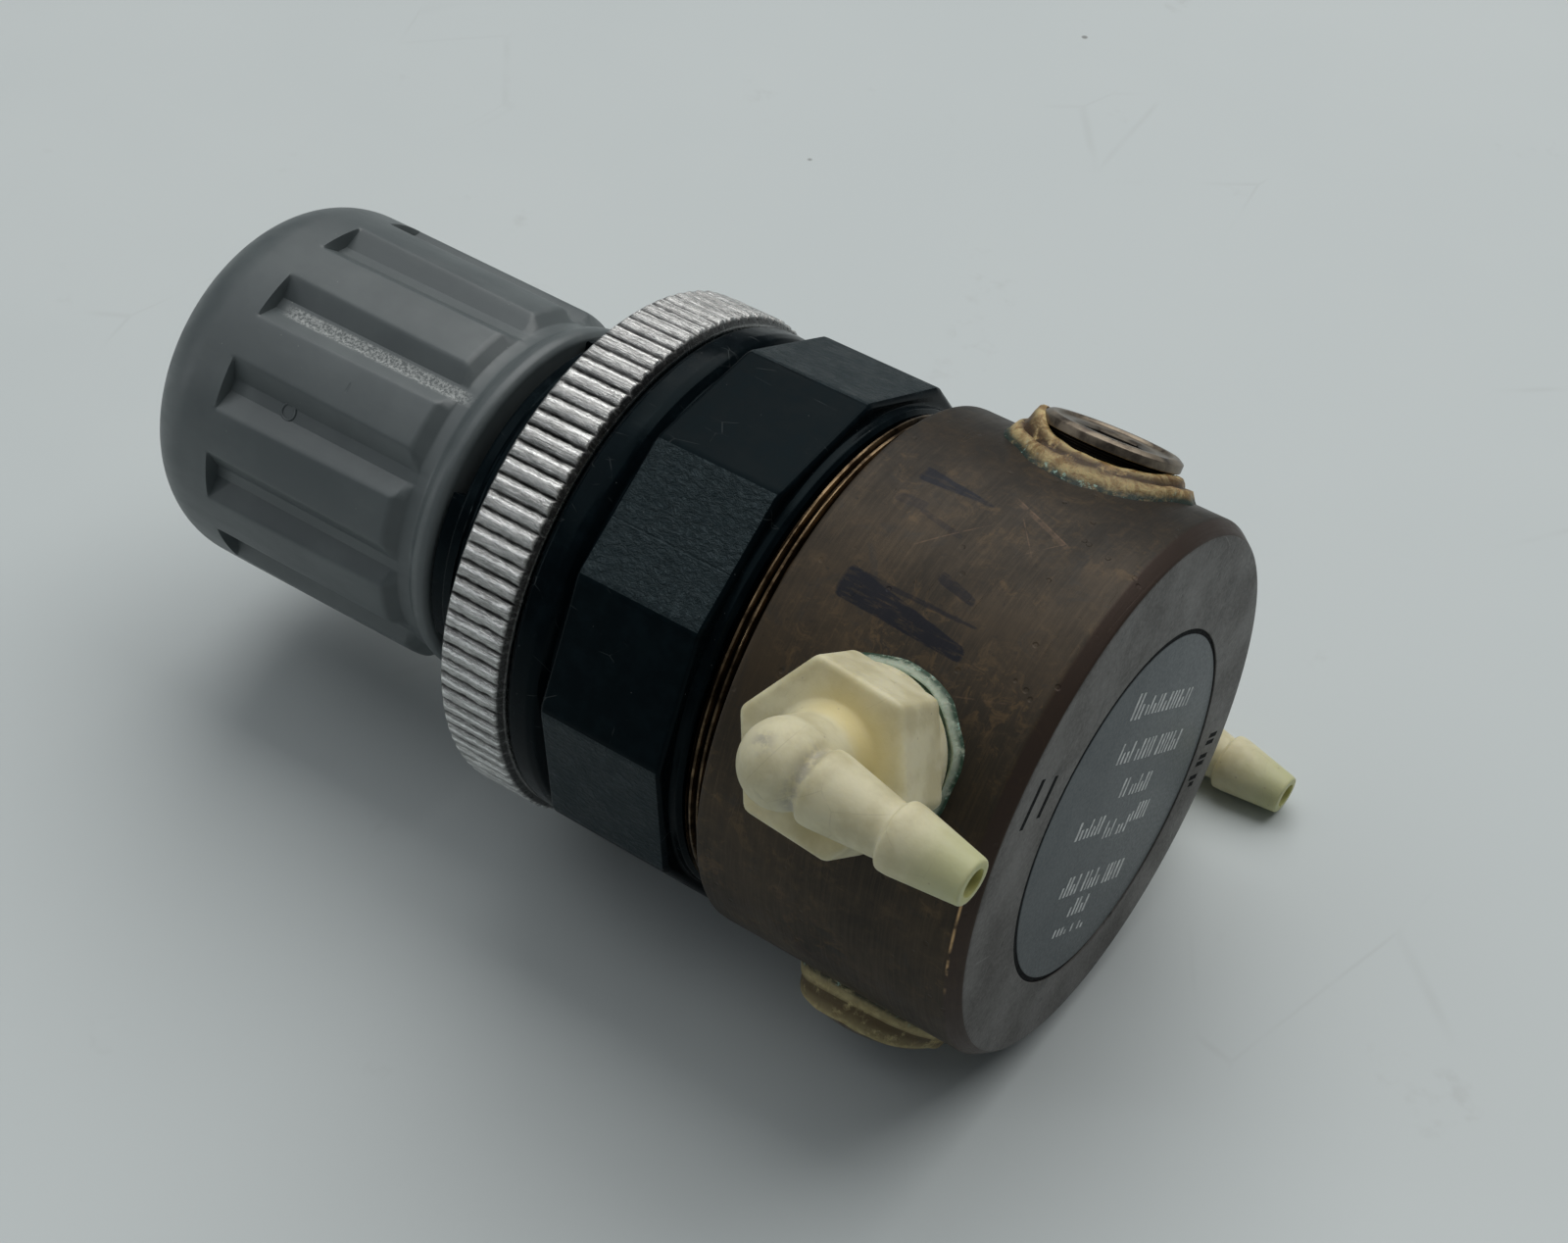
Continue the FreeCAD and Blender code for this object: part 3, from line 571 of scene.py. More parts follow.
def sealant_material(name, base, light, stain, edge, edge_least):
    """Dried thread sealant: stained in its crevice, darker and greener at its outer edge."""
    s = Shader(name, base, 0.55, 0.0, Subsurface_Weight=0.12, Subsurface_Scale=0.0008,
               Specular_IOR_Level=0.4)
    lump = s.noise(0.8, 5, 0.68, distortion=0.7)
    fine = s.noise(4.5, 4, 0.7)
    s.tone = s.mix(s.span(lump, 0.38, 0.62), base, light)
    crevice = s.times(s.field("crevice"), s.span(s.noise(0.8, 4, 0.7), 0.3, 0.48))
    s.coat(crevice, stain)
    s.coat(s.span(fine, 0.6, 0.72, 0, 0.5), stain)
    border = s.field("border")
    ragged = s.span(s.noise(1.1, 4, 0.7), 0.32, 0.52, edge_least, 1.0)
    s.coat(s.times(border, ragged), edge)
    s.coat(s.times(border, s.patches(1.9, 3, 0.6, 0.7)), (0.27, 0.4, 0.33))
    ground = s.bump(fine, 0.04, 0.6, s.bump(lump, 0.16, 0.8))
    return s.finish(s.span(lump, 0.3, 0.7, 0.45, 0.68), ground)


def plug_material():
    s = Shader("plug_bronze", (0.22, 0.185, 0.14), 0.38, 0.85)
    lathe = s.noise(2.2, 5, 0.65)
    worn = s.noise(0.8, 4, 0.6)
    s.tone = s.mix(s.span(worn, 0.35, 0.65), (0.12, 0.097, 0.075), (0.27, 0.225, 0.17))
    s.coat(s.span(lathe, 0.6, 0.75, 0, 0.5), (0.42, 0.36, 0.28))
    # Painted shade in the hex socket and on the shank below the rim.
    s.coat(s.field("socket_shade"), (0.012, 0.011, 0.01))
    return s.finish(s.span(worn, 0.3, 0.7, 0.3, 0.5), s.bump(lathe, 0.03, 0.7))


def label_material():
    s = Shader("label_satin", (0.06, 0.075, 0.082), 0.4, 0.25)
    cloud = s.noise(0.3, 4, 0.6)
    fine = s.noise(3.5, 4, 0.7)
    s.tone = s.mix(s.span(cloud, 0.35, 0.65), (0.056, 0.07, 0.077), (0.075, 0.09, 0.096))
    s.coat(s.dots(0.6, 0.03, 0.07, 0.5), (0.16, 0.17, 0.17))
    return s.finish(s.span(fine, 0.3, 0.7, 0.34, 0.5), s.bump(fine, 0.012, 0.6))


def plain_material(name, low, high, rough, metallic, scale=1.2, shine=0.5):
    """Cloudy colour, uneven gloss and a fine surface, for small and inner pieces."""
    s = Shader(name, high, rough, metallic, Specular_IOR_Level=shine)
    cloud = s.noise(scale, 5, 0.6)
    fine = s.noise(scale * 5, 3, 0.6)
    s.tone = s.mix(s.span(cloud, 0.35, 0.65), low, high)
    return s.finish(s.span(fine, 0.3, 0.7, rough - 0.08, rough + 0.1),
                    s.bump(fine, 0.02, 0.6))


def floor_material():
    """Pale board with smudges, short scuffs and a little grit."""
    s = Shader("floor_pale", (0.56, 0.6, 0.6), 0.55, 0.0, Specular_IOR_Level=0.35)
    cloud = s.noise(0.012, 4, 0.6)
    fine = s.noise(0.9, 3, 0.6)
    smudge = s.times(s.span(s.noise(0.05, 5, 0.7), 0.62, 0.74),
                     s.span(s.noise(0.4, 3, 0.6), 0.45, 0.65, 0, 0.35))
    s.tone = s.mix(s.span(cloud, 0.3, 0.7), (0.555, 0.6, 0.6), (0.58, 0.622, 0.62))
    s.coat(smudge, (0.44, 0.46, 0.45))
    scuff = s.hairlines(0.05, (1.0, 0.45, 1.0), 0.012, 0.035, 3, 0.58, 0.68)
    s.coat(s.times(scuff, 0.2), (0.4, 0.42, 0.41))
    grit = s.dots(0.045, 0.01, 0.02, 0.75)
    s.coat(grit, (0.16, 0.16, 0.15))
    return s.finish(s.span(cloud, 0.3, 0.7, 0.48, 0.6), s.bump(fine, 0.01, 0.3))


BRONZE = bronze_material("bronze_patina", (0.059, 0.043, 0.027), (0.118, 0.08, 0.044),
                         (0.034, 0.028, 0.021))
FACE = bronze_material("bronze_face", (0.135, 0.128, 0.121), (0.2, 0.19, 0.18),
                       (0.085, 0.079, 0.073), face=True)
THREAD = spigot_material()
KNOB = knob_material()
NUT = nut_material()
GLOSS = black_material("gloss")
SATIN = black_material("satin")
GRAIN = black_material("grain")
NYLON = {side: nylon_material("nylon_" + side) for side in SWINGS}
GREEN = sealant_material("sealant_green", (0.33, 0.385, 0.29), (0.47, 0.52, 0.41),
                         (0.13, 0.2, 0.12), (0.018, 0.052, 0.028), 0.25)
TAN = sealant_material("sealant_tan", (0.25, 0.15, 0.05), (0.6, 0.465, 0.225),
                       (0.036, 0.016, 0.005), (0.006, 0.02, 0.014), 0.6)
OLIVE = sealant_material("sealant_olive", (0.42, 0.34, 0.155), (0.6, 0.51, 0.26),
                         (0.09, 0.06, 0.024), (0.035, 0.032, 0.015), 0.45)
PLUG = plug_material()
LABEL = label_material()
PRINT = plain_material("label_print", (0.42, 0.43, 0.43), (0.72, 0.73, 0.72), 0.5, 0.0, 2.0)
# Near-black paint, used both for the painted shadow in the label's edge gap and for the real
# stamped strokes.
SHADE_AND_MARK_BLACK = plain_material("shade_and_mark_black", (0.004, 0.004, 0.005), (0.009, 0.009, 0.01), 0.7, 0.0,
                      shine=0.06)
# Carried-over CAD nodes inside the part, by the material slot in the record.
INNER = {slot: plain_material(*look) for slot, look in {
    "steel": ("plated_steel", (0.42, 0.42, 0.42), (0.58, 0.58, 0.57), 0.3, 1.0),
    "washer_plastic": ("washer_resin", (0.6, 0.6, 0.55), (0.72, 0.72, 0.67), 0.45, 0.0),
    "zinc": ("zinc_cast", (0.44, 0.45, 0.46), (0.6, 0.61, 0.62), 0.42, 1.0),
    "spring_steel": ("spring_wire", (0.28, 0.29, 0.31), (0.44, 0.45, 0.47), 0.28, 1.0),
    "rubber_black": ("rubber_sheet", (0.02, 0.02, 0.02), (0.035, 0.035, 0.035), 0.62, 0.0),
    "seat_brass": ("brass_turned", (0.56, 0.44, 0.2), (0.72, 0.58, 0.3), 0.28, 1.0),
}.items()}


# ---- body
def helix_cut(x, angles, pitch, depth, start):
    """Depth of a thread below its crest, following the helix."""
    phase = ((x - start) / pitch + angles / 360.0) % 1.0
    return np.clip(2.4 * np.abs(phase - 0.5) - 0.35, 0, 0.75) / 0.75 * depth


def build_body():
    low, high = mm_box("valve_body")
    start, face = low[0], high[0]
    label_low, label_high = mm_box("label_disc")
    recess_r = (label_high[1] - label_low[1]) / 2 + 0.3
    chamber_x, chamber_r = 13.5, 13.4
    hidden_r, shown_r, shown_x, wall_x = 18.2, 19.0, 15.3, 17.4
    # Stations are x, radius and a mark: 1 on the thread in the bonnet, 2 on its last turns.
    stations = np.vstack([
        soften(marked([(chamber_x, 0), (chamber_x, chamber_r), (start, chamber_r),
                       (start, hidden_r - 0.3)], 0), 0.2),
        [(x, hidden_r, 1) for x in np.arange(start + 0.1, 15.15, 0.1)],
        [(x, shown_r, 2) for x in np.arange(shown_x, 17.36, 0.06)],
        soften(marked([(wall_x, 18.6), (wall_x, BODY_R - 0.05), (17.75, BODY_R),
                       (face - 1.1, BODY_R), (face, BODY_R - 0.8), (face, BODY_R - 1.6)], 0),
               0.22, 4)])
    angles = even_angles(288)

    def shape(st, x, radius, turn):
        coarse = helix_cut(x, turn, 1.0, 0.45, start) * (st[:, 2:3] == 1)
        fine = helix_cut(x, turn, 0.62, 0.38, shown_x) * (st[:, 2:3] == 2)
        return radius - coarse - fine

    # From the rim of the end face (share 0) to the label's recess (share 1), which is off centre.
    rings = [turned(stations, angles, shape)[0]]
    turn = np.radians(angles)
    rim_r = stations[-1, 1]
    steps = [(face, share, 0.0) for share in (0.25, 0.5, 0.75, 0.97, 1.0)]
    steps += [(face - 0.05, 1.0, -0.05), (label_low[0], 1.0, -0.05), (label_low[0], 1.0, -recess_r)]
    for x, share, change in steps:
        radius = rim_r + (recess_r - rim_r) * share + change
        rings.append(np.stack([np.full(len(turn), x),
                               radius * np.sin(turn) + LABEL_AT[0] * share,
                               radius * np.cos(turn) + LABEL_AT[1] * share], -1))

    def pick(centre, normal):
        radius = math.hypot(centre.y, centre.z)
        if centre.x > face - 0.7 and (abs(normal.x) > 0.9 or radius < 17.5):
            return 1
        return 2 if centre.x < wall_x + 0.02 and radius < shown_r + 0.2 else 0

    make_piece("body_shell", np.vstack(rings), grid_faces(len(stations) + len(steps), len(turn)),
               [BRONZE, FACE, THREAD], "housing", 38, ["valve_body"], pick)


def slabs(name, cells, x_low, x_high, material):
    """Thin raised blocks on the end face; each cell is four (y, z) corners."""
    verts, faces = [], []
    for corners in cells:
        base = len(verts)
        for x in (x_low, x_high):
            verts += [(x, y, z) for y, z in corners]
        faces += [(base + 4, base + 5, base + 6, base + 7), (base + 3, base + 2, base + 1, base)]
        faces += [(base + i, base + (i + 1) % 4, base + 4 + (i + 1) % 4, base + 4 + i)
                  for i in range(4)]
    make_piece(name, verts, faces, [material], "housing", 30)


def cell(origin, along, down, u, v, length, height):
    """Corners of a block, u along and v down from the origin."""
    return [np.array(origin) + along * (u + a) + down * (v + b)
            for a, b in ((0, 0), (length, 0), (length, height), (0, height))]


def build_label():
    """Printed plate, a black ring painted as the shadow in the gap round it, rows of generic bars
    and the stamped strokes beside it.
    """
    low, high = mm_box("label_disc")
    radius = (high[1] - low[1]) / 2
    tilt = math.radians(LABEL_TILT)
    along = np.array([math.cos(tilt), -math.sin(tilt)])
    down = np.array([-math.sin(tilt), -math.cos(tilt)])
    centre = np.array(LABEL_AT) + along * 0.36 + down * 0.08
    plate_r = radius - 0.1
    plate = soften([(low[0], 0), (low[0], plate_r), (high[0], plate_r), (high[0], 0)], 0.08)
    points, faces = turned(plate, even_angles(192))
    points[:, 1:] += centre
    make_piece("label_plate_disc", points, faces, [LABEL], "housing", 40,
               ["label_disc"])
    # Painted shadow: a black ring under the plate's edge, showing as a crescent in the gap on one
    # side.
    ring = soften([(low[0], radius - 0.7), (high[0] - 0.04, radius - 0.7),
                   (high[0] - 0.04, radius + 0.27), (low[0], radius + 0.27)], 0.03)
    points, faces = turned(np.vstack([ring, ring[:1]]), even_angles(160))
    points[:, 1:] += LABEL_AT
    make_piece("label_gap_shadow_ring", points, faces, [SHADE_AND_MARK_BLACK], "housing", 40)

    cells = []
    space = 0.6
    # distance down, middle along the row, lengths of the words, height of the bars
    for drop, middle, words, height in (
            (-8.9, -4.9, (1.5,), 1.7), (-8.6, 1.2, (8.6,), 1.2),
            (-5.1, 0.9, (2.6, 2.9, 4.4), 1.35), (-2.1, 1.7, (1.3, 3.6), 1.25),
            (0.6, -4.2, (5.0,), 1.2), (0.4, 5.2, (2.8,), 1.2), (1.2, 1.3, (1.9, 1.9), 1.15),
            (5.2, 0.6, (3.4, 3.3, 2.9), 1.3), (7.3, 0.2, (3.0,), 1.15),
            (9.4, 0.1, (2.2, 0.7, 1.3), 0.55)):
        at = middle - (sum(words) + space * (len(words) - 1)) / 2
        for length in words:
            end = at + length
            while at < end:
                bar = RNG.uniform(0.26, 0.4)
                tall = 1.2 * height * RNG.choice([1.0, 1.0, 0.55])
                cells.append(cell(centre, along, down, at, drop + height - tall, bar, tall))
                at += bar + RNG.uniform(0.3, 0.46)
            at += space
    slabs("label_bars", cells, high[0] - 0.03, high[0] + 0.012, PRINT)

    face = mm_box("valve_body")[1][0]
    port_down = np.array([-0.65, -0.76])
    marks = [cell((-12.3, 12.3), along, port_down, 2.2 * i, 0, 0.55, 3.6 - 0.6 * i)
             for i in range(2)]
    rim_down, rim_out = np.array([-0.67, -0.74]), np.array([0.865, -0.5])
    marks += [cell((16.0, -6.8), rim_down, rim_out, 1.77 * i + gap, -0.75 + 0.9 * gap * (i == 2),
                   0.4, 1.5 - gap * (i == 2)) for i in range(3) for gap in (0, 0.6)]
    slabs("port_mark_strokes", marks, face - 0.05, face + 0.006, SHADE_AND_MARK_BLACK)


# ---- fittings
def lathe_z(stations, count, shape=None):
    """Closed mesh about a port's own axis, from (height, radius) stations."""
    points, faces = turned(stations, even_angles(count), shape)
    return points[:, ::-1], faces


def along_x(stations, height, count=72):
    """Closed mesh about an elbow's arm, from (distance, radius) stations."""
    points, faces = lathe_z(stations, count)
    return np.stack([points[:, 2], points[:, 1], height - points[:, 0]], -1), faces


def hexagon(stations, _, radius, degrees):
    """Hexagonal where marked, with slightly blunt corners, one of them on the local X axis."""
    fold = np.radians((degrees % 60) - 30)
    flat = radius * math.cos(math.pi / 6) / np.cos(fold)
    return np.where(stations[:, 2:3] > 0.5, np.minimum(flat, radius * 0.985), radius)


def solid_object(parts):
    """One object holding several closed meshes, in millimetres."""
    work = bmesh.new()
    for points, faces in parts:
        verts = [work.verts.new(p) for p in points]
        for face in faces:
            work.faces.new([verts[i] for i in face])
    bmesh.ops.remove_doubles(work, verts=work.verts, dist=1e-4)
    bmesh.ops.recalc_face_normals(work, faces=work.faces)
    mesh = bpy.data.meshes.new("work")
    work.to_mesh(mesh)
    work.free()
    return new_object("work", mesh)


def applied(made):
    """Mesh of an object after its modifiers; the object is removed."""
    bpy.context.view_layer.update()
    graph = bpy.context.evaluated_depsgraph_get()
    mesh = bpy.data.meshes.new_from_object(made.evaluated_get(graph))
    bpy.data.objects.remove(made)
    return mesh


def build_elbow(side):
    """Hexagon, neck, ball and two barbs, merged by a voxel remesh, eased and bored."""
    flange_h, hex_h, top_h, arm_h = 20.9, 21.8, 27.4, 32.3
    root_r, flange_r, ball_r, tip_x = 4.85, 5.8, 2.9, 13.8
    corner_r = ELBOW_AF / math.sqrt(3)
    ball = [(arm_h - ball_r * math.cos(t), ball_r * math.sin(t))
            for t in np.linspace(0, math.pi, 25)]
    made = solid_object([
        lathe_z([(16, 0), (16, root_r), (21.2, root_r), (21.2, 0)], 72),
        lathe_z(soften([(flange_h, 0), (flange_h, flange_r), (hex_h + 0.2, flange_r),
                        (hex_h + 0.2, 0)], 0.25), 96),
        lathe_z(soften([(hex_h, 0, 1), (hex_h, corner_r - 0.1, 1), (hex_h + 0.3, corner_r, 1),
                        (top_h - 0.25, corner_r - 0.12, 1), (top_h, corner_r - 0.4, 1),
                        (top_h, 0, 1)], 0.2), 120, hexagon),
        lathe_z(soften([(top_h - 0.6, 0), (top_h - 0.6, 4.3), (top_h + 0.05, 3.55),
                        (top_h + 0.9, 2.95), (arm_h, 2.88), (arm_h, 0)], 0.6, 6), 96),
        lathe_z(ball, 96),
        along_x(soften([(0.4, 0), (0.4, 2.2), (2.3, 2.12), (2.65, 2.54), (3.2, 2.54),
                        (8.2, 1.85), (8.2, 0)], 0.12), arm_h),
        along_x(soften([(7.9, 0), (8.18, 2.2), (8.35, 2.35), (9.0, 2.34), (tip_x, 1.6),
                        (tip_x, 0)], 0.12), arm_h)])
    remesh = made.modifiers.new("remesh", "REMESH")
    remesh.mode = "VOXEL"
    remesh.voxel_size = 0.13
    ease = made.modifiers.new("ease", "SMOOTH")
    ease.factor = 0.5
    ease.iterations = 3
    bore = solid_object([along_x([(6.0, 0), (6.0, 0.95), (14.6, 1.0), (14.6, 0)], arm_h, 48)])
    cut = made.modifiers.new("bore", "BOOLEAN")
    cut.operation = "DIFFERENCE"
    cut.solver = "EXACT"
    cut.object = bore
    mesh = applied(made)
    bpy.data.objects.remove(bore)

    co = np.zeros(len(mesh.vertices) * 3)
    mesh.vertices.foreach_get("co", co)
    x, y, z = co.reshape(-1, 3).T
    recess = 1 - smooth_step(3.2, 6.3, np.hypot(x, y))
    recess *= 1 - smooth_step(top_h + 0.2, top_h + 2.2, z)
    recess *= smooth_step(top_h - 0.4, top_h, z) * smooth_step(-3.5, 2.0, x + y * 0.4)
    tip = smooth_step(8.4, 13.6, x) * (z > top_h)
    rim = smooth_step(tip_x - 0.25, tip_x, x) * smooth_step(1.5, 1.1, np.hypot(y, z - arm_h))
    barb_smudge = np.exp(-((x - 2.1) ** 2 / 0.35 + (z - arm_h - 1.6) ** 2 / 2.2))
    ball_smudge = np.exp(-((x + 0.9) ** 2 / 0.5 + (y - 1.2) ** 2 / 0.5)) * (z > arm_h)
    set_fields(mesh, {"recess": recess, "tip": tip * 0.75, "rim": rim * 0.9,
                      "smudge": np.maximum(barb_smudge, ball_smudge) * 0.55})
    mesh.transform(Matrix.Scale(MM, 4) @ port_matrix(PORT_ANGLES[side], SWINGS[side]))
    dress(side + "_hose_elbow", mesh, [NYLON[side]], "housing", 60,
          [side + "_elbow"])


def build_sealant(name, node, material, angle, outer_r, crest_h, inner_r, humps=()):
    """Squeezed-out sealant that lies on the round body, with a crevice along its crest."""
    count = 220
    turn = even_angles(count)
    sin, cos = np.sin(np.radians(turn)), np.cos(np.radians(turn))
    foot, crest, lump, shelf = Ripple(14), Ripple(20, 1.1), Ripple(26, 0.8), Ripple(12)
    outer = outer_r + 0.14 * foot(turn) + 0.025 * lump(turn)
    top = crest_h + 0.1 * crest(turn)
    raised = np.zeros(count)
    for centre, width, height in humps:
        raised = np.maximum(raised, height * np.exp(-(folded(turn, 360, centre) / width) ** 2))
    rows, border, crevice = [], [], []
    for share in (0, 0.05, 0.12, 0.2, 0.3, 0.4, 0.48, 0.56, 0.64, 0.72, 0.8, 0.88, 0.95, 1.0):
        radius = outer + (inner_r - outer) * share
        y = radius * sin
        ground = np.sqrt(np.maximum(BODY_R ** 2 - y ** 2, 0))
        outer_ridge = ground + 0.95 * smooth_step(0, 0.42, share) + 0.025 * lump(turn + 40 * share)
        inner_ridge = top + raised * smooth_step(0.35, 0.75, share) + 0.05 * shelf(turn + 60)
        blend = smooth_step(0.25, 0.8, share)
        height = np.maximum(outer_ridge * (1 - blend) + inner_ridge * blend, ground - 0.12)
        height -= 0.36 * np.exp(-((share - 0.5) / 0.1) ** 2) * (1 + 0.5 * crest(turn + 90))
        if share == 0:
            height = ground - 0.12
        if share == 1:
            height = np.minimum(height, crest_h - 0.9)
        rows.append(np.stack([radius * cos, y, height], -1))
        border.append(np.full(count, 1 - smooth_step(0.1, 0.27, share)))
        crevice.append(np.full(count, np.exp(-((share - 0.52) / 0.18) ** 2)))
    rows.append(np.stack([inner_r * cos, inner_r * sin, np.full(count, 18.6)], -1))
    border.append(np.zeros(count))
    crevice.append(np.ones(count))
    points = placed(np.concatenate(rows), port_matrix(angle))
    faces = grid_faces(len(rows), count, closed_rows=True)
    make_piece(name, points, faces, [material], "housing", 70, [node],
               fields={"border": np.concatenate(border), "crevice": np.concatenate(crevice)})


def build_plug(side):
    """Hex-socket plug with three ring grooves; a field paints shade into its socket and onto its
    shank.
    """
    top, rim_h, rim_r, root_r, depth = 22.8, 21.9, 5.15, 4.85, 3.6
    socket = SOCKET_AF / math.sqrt(3)
    outline = [(14.5, 0, 0), (14.5, root_r, 0), (20.6, root_r, 0)]
    for i in range(3):
        outline += [(20.7 + 0.4 * i, root_r - 0.35, 0), (20.9 + 0.4 * i, root_r, 0)]
    outline += [(rim_h - 0.02, root_r - 0.3, 0), (rim_h, rim_r, 0), (top - 0.26, rim_r, 0),
                (top, rim_r - 0.42, 0), (top, rim_r - 0.85, 0), (top - 0.22, rim_r - 1.05, 0),
                (top - 0.25, socket + 0.4, 0), (top - 0.45, socket, 1),
                (top - depth, socket, 1), (top - depth - 0.7, 0, 0)]
    points, faces = lathe_z(soften(outline, 0.07), 144, hexagon)
    radius = np.hypot(points[:, 0], points[:, 1])
    # Painted shade: near black down the socket and on the shank below the rim.
    socket_shade = (1 - smooth_step(top - 0.6, top - 0.2, points[:, 2])) * (radius < socket + 0.5)
    socket_shade = np.maximum(socket_shade, (points[:, 2] < rim_h - 0.01) * 0.9)
    points = placed(points, port_matrix(PORT_ANGLES[side], 12))
    make_piece(side + "_port_plug", points, faces, [PLUG], "housing", 35,
               [side + "_gauge_plug"], fields={"socket_shade": socket_shade})


# ---- bonnet and nut
def build_bonnet():
    """Threaded neck, round collar and 12 flats; then the three lugs that hold the knob."""
    top_x, rim_x, bore_r, neck_r, collar_r = -10.6, 15.0, 11.2, 14.9, 19.7
    flat_r = 20.6 * math.cos(math.radians(15))
    # Stations are x, radius, share of the flats and whether the neck's thread is cut.
    inner = marked([(rim_x, 18.8), (rim_x, 17.9), (14.6, 18.3), (7.5, 18.3), (7.5, bore_r),
                    (-8.6, bore_r), (-8.6, 4.5), (top_x, 4.5)], 0, 0)
    head = marked([(top_x, 4.5), (top_x, 13.9), (top_x + 0.25, 14.2), (-9.5, 14.2),
                   (-9.5, 14.35)], 0, 0)
    neck = [(x, neck_r, 0, 1) for x in np.arange(-9.4, -0.45, 0.12)]
    collar = marked([(-0.4, 14.3), (0, 14.4), (0, 19.25), (0.5, collar_r), (2.0, collar_r),
                     (2.6, 19.55), (3.2, 18.9), (3.65, 18.9)], 0, 0)
    collar += marked([(3.7, flat_r - 0.25), (3.95, flat_r), (13.8, flat_r),
                      (14.1, flat_r - 0.3)], 1, 0)
    collar += marked([(14.12, 19.15), (14.5, 19.1), (14.7, 19.1), (rim_x, 18.8)], 0, 0)
    stations = np.vstack([soften(inner, 0.15), soften(head, 0.15), neck, soften(collar, 0.16, 4)])
    angles = sector_angles([0, 3, 6, 9, 11, 12.6, 13.6, 14.1, 14.5, 14.8], FLAT_STEP, FLAT_TURN)

    def shape(st, x, radius, turn):
        fold = np.radians(folded(turn, FLAT_STEP, FLAT_TURN))
        ratio = np.minimum(1 / np.cos(fold), 20.52 / flat_r)
        radius = np.where(st[:, 2:3] > 0.01, radius * (1 + (ratio - 1) * st[:, 2:3]), radius)
        return radius - (st[:, 3:4] > 0.5) * helix_cut(x, turn, 1.5, 0.6, -9.5)

    def pick(centre, normal):
        radius = math.hypot(centre.y, centre.z)
        if 3.9 < centre.x < 14.0 and radius > collar_r and abs(normal.x) < 0.3:
            turn = math.degrees(math.atan2(centre.y, centre.z))
            return 1 + round((turn - FLAT_TURN) / FLAT_STEP) % 2
        return 0

    points, faces = turned(stations, angles, shape)
    make_piece("bonnet_shell", points, faces, [GLOSS, GRAIN, SATIN], "housing",
               30, ["bonnet"], pick)
    lug = [(top_x + 0.3, 12.4), (-11.5, 12.4), (-11.6, 12.5), (-11.6, 13.9), (-11.5, 14.0),
           (top_x + 0.3, 14.0)]
    columns = len(lug)
    for i in range(3):
        turns = np.radians(np.linspace(-25, 25, 21) + 285 + 120 * i)
        points = [(x, r * math.sin(t), r * math.cos(t)) for t in turns for x, r in lug]
        ends = [tuple(range(columns)), tuple(range(len(points) - columns, len(points)))]
        make_piece("bonnet_lug_%d" % (i + 1), points, grid_faces(len(turns), columns) + ends,
                   [GLOSS], "housing", 30)


def build_nut():
    """Knurled ring: broad rounded ridges with worn tops, narrow grooves and ragged ends."""
    low, high = mm_box("panel_nut")
    length, outer, bore = high[0] - low[0], high[1], 15.0
    knurl = bore + 3
    outline = [(0, bore + 0.6, 0), (0, knurl + 0.3, 0), (0, outer - 0.75, 0), (-0.5, outer, 1),
               (0.4 - length, outer, 1), (-length, outer - 0.45, 0), (-length, knurl + 0.3, 0),
               (-length, bore + 0.6, 0), (0.5 - length, bore, 0), (-0.5, bore, 0),
               (0, bore + 0.6, 0)]
    stations = refine(soften(outline, 0.1, 2), 0.26, knurl)
    step = 360.0 / NUT_TEETH
    angles = even_angles(NUT_TEETH * 14)
    tooth = np.floor(angles / step + 0.5).astype(int) % NUT_TEETH
    drop = RNG.uniform(0, 0.06, NUT_TEETH)[tooth]
    lean = RNG.uniform(-0.22, 0.22, NUT_TEETH)[tooth]
    # Noise round the nut: eased for the ridges, as drawn for the grooves.
    waves = [np.convolve(np.tile(wave, 3), np.ones(3) / 3, "same")[len(wave):2 * len(wave)]
             for wave in RNG.normal(size=(8, len(angles)))]
    groove_waves = RNG.normal(size=(4, len(angles)))

    def shape(_, x, radius, turn):
        place = folded(turn, step, 0.0) / (step / 2)
        ridge = np.abs(place) ** 2.6 * 0.34 + drop + lean * place * 0.12
        rough = sum(w * np.sin((i + 1) * 0.9 * x + i * 1.7) for i, w in enumerate(waves)) * 0.011
        ragged = sum(w * np.sin((i + 2) * 1.3 * x + i) for i, w in enumerate(groove_waves)) * 0.014
        worn = rough + ragged * (np.abs(place) > 0.55)
        knurled = np.minimum(outer - ridge - worn, outer)
        return np.where(radius > knurl, np.minimum(radius, knurled), radius)

    points, faces = turned(stations, angles, shape)
    make_piece("knurled_ring_nut", points, faces, [NUT], "ring_nut", 60,
               ["panel_nut"])


# ---- knob
def flute_radius(fold):
    """Radius of a flute's flat bottom and flanks at an angle from its centre."""
    low_r, low_a, high_a = 13.75, math.radians(2.0), math.radians(8.2)
    low = np.array([low_r * math.sin(low_a), low_r * math.cos(low_a)])
    run = np.array([KNOB_R * math.sin(high_a), KNOB_R * math.cos(high_a)]) - low
    fold = np.abs(np.radians(fold))
    cross = np.sin(fold) * run[1] - np.cos(fold) * run[0]
    flank = (low[0] * run[1] - low[1] * run[0]) / np.where(np.abs(cross) < 1e-6, 1e-6, cross)
    flank = np.where(flank < 0, 30.0, np.minimum(flank, 30.0))
    return np.maximum(low[1] / np.cos(fold), np.where(fold < low_a, 0.0, flank))


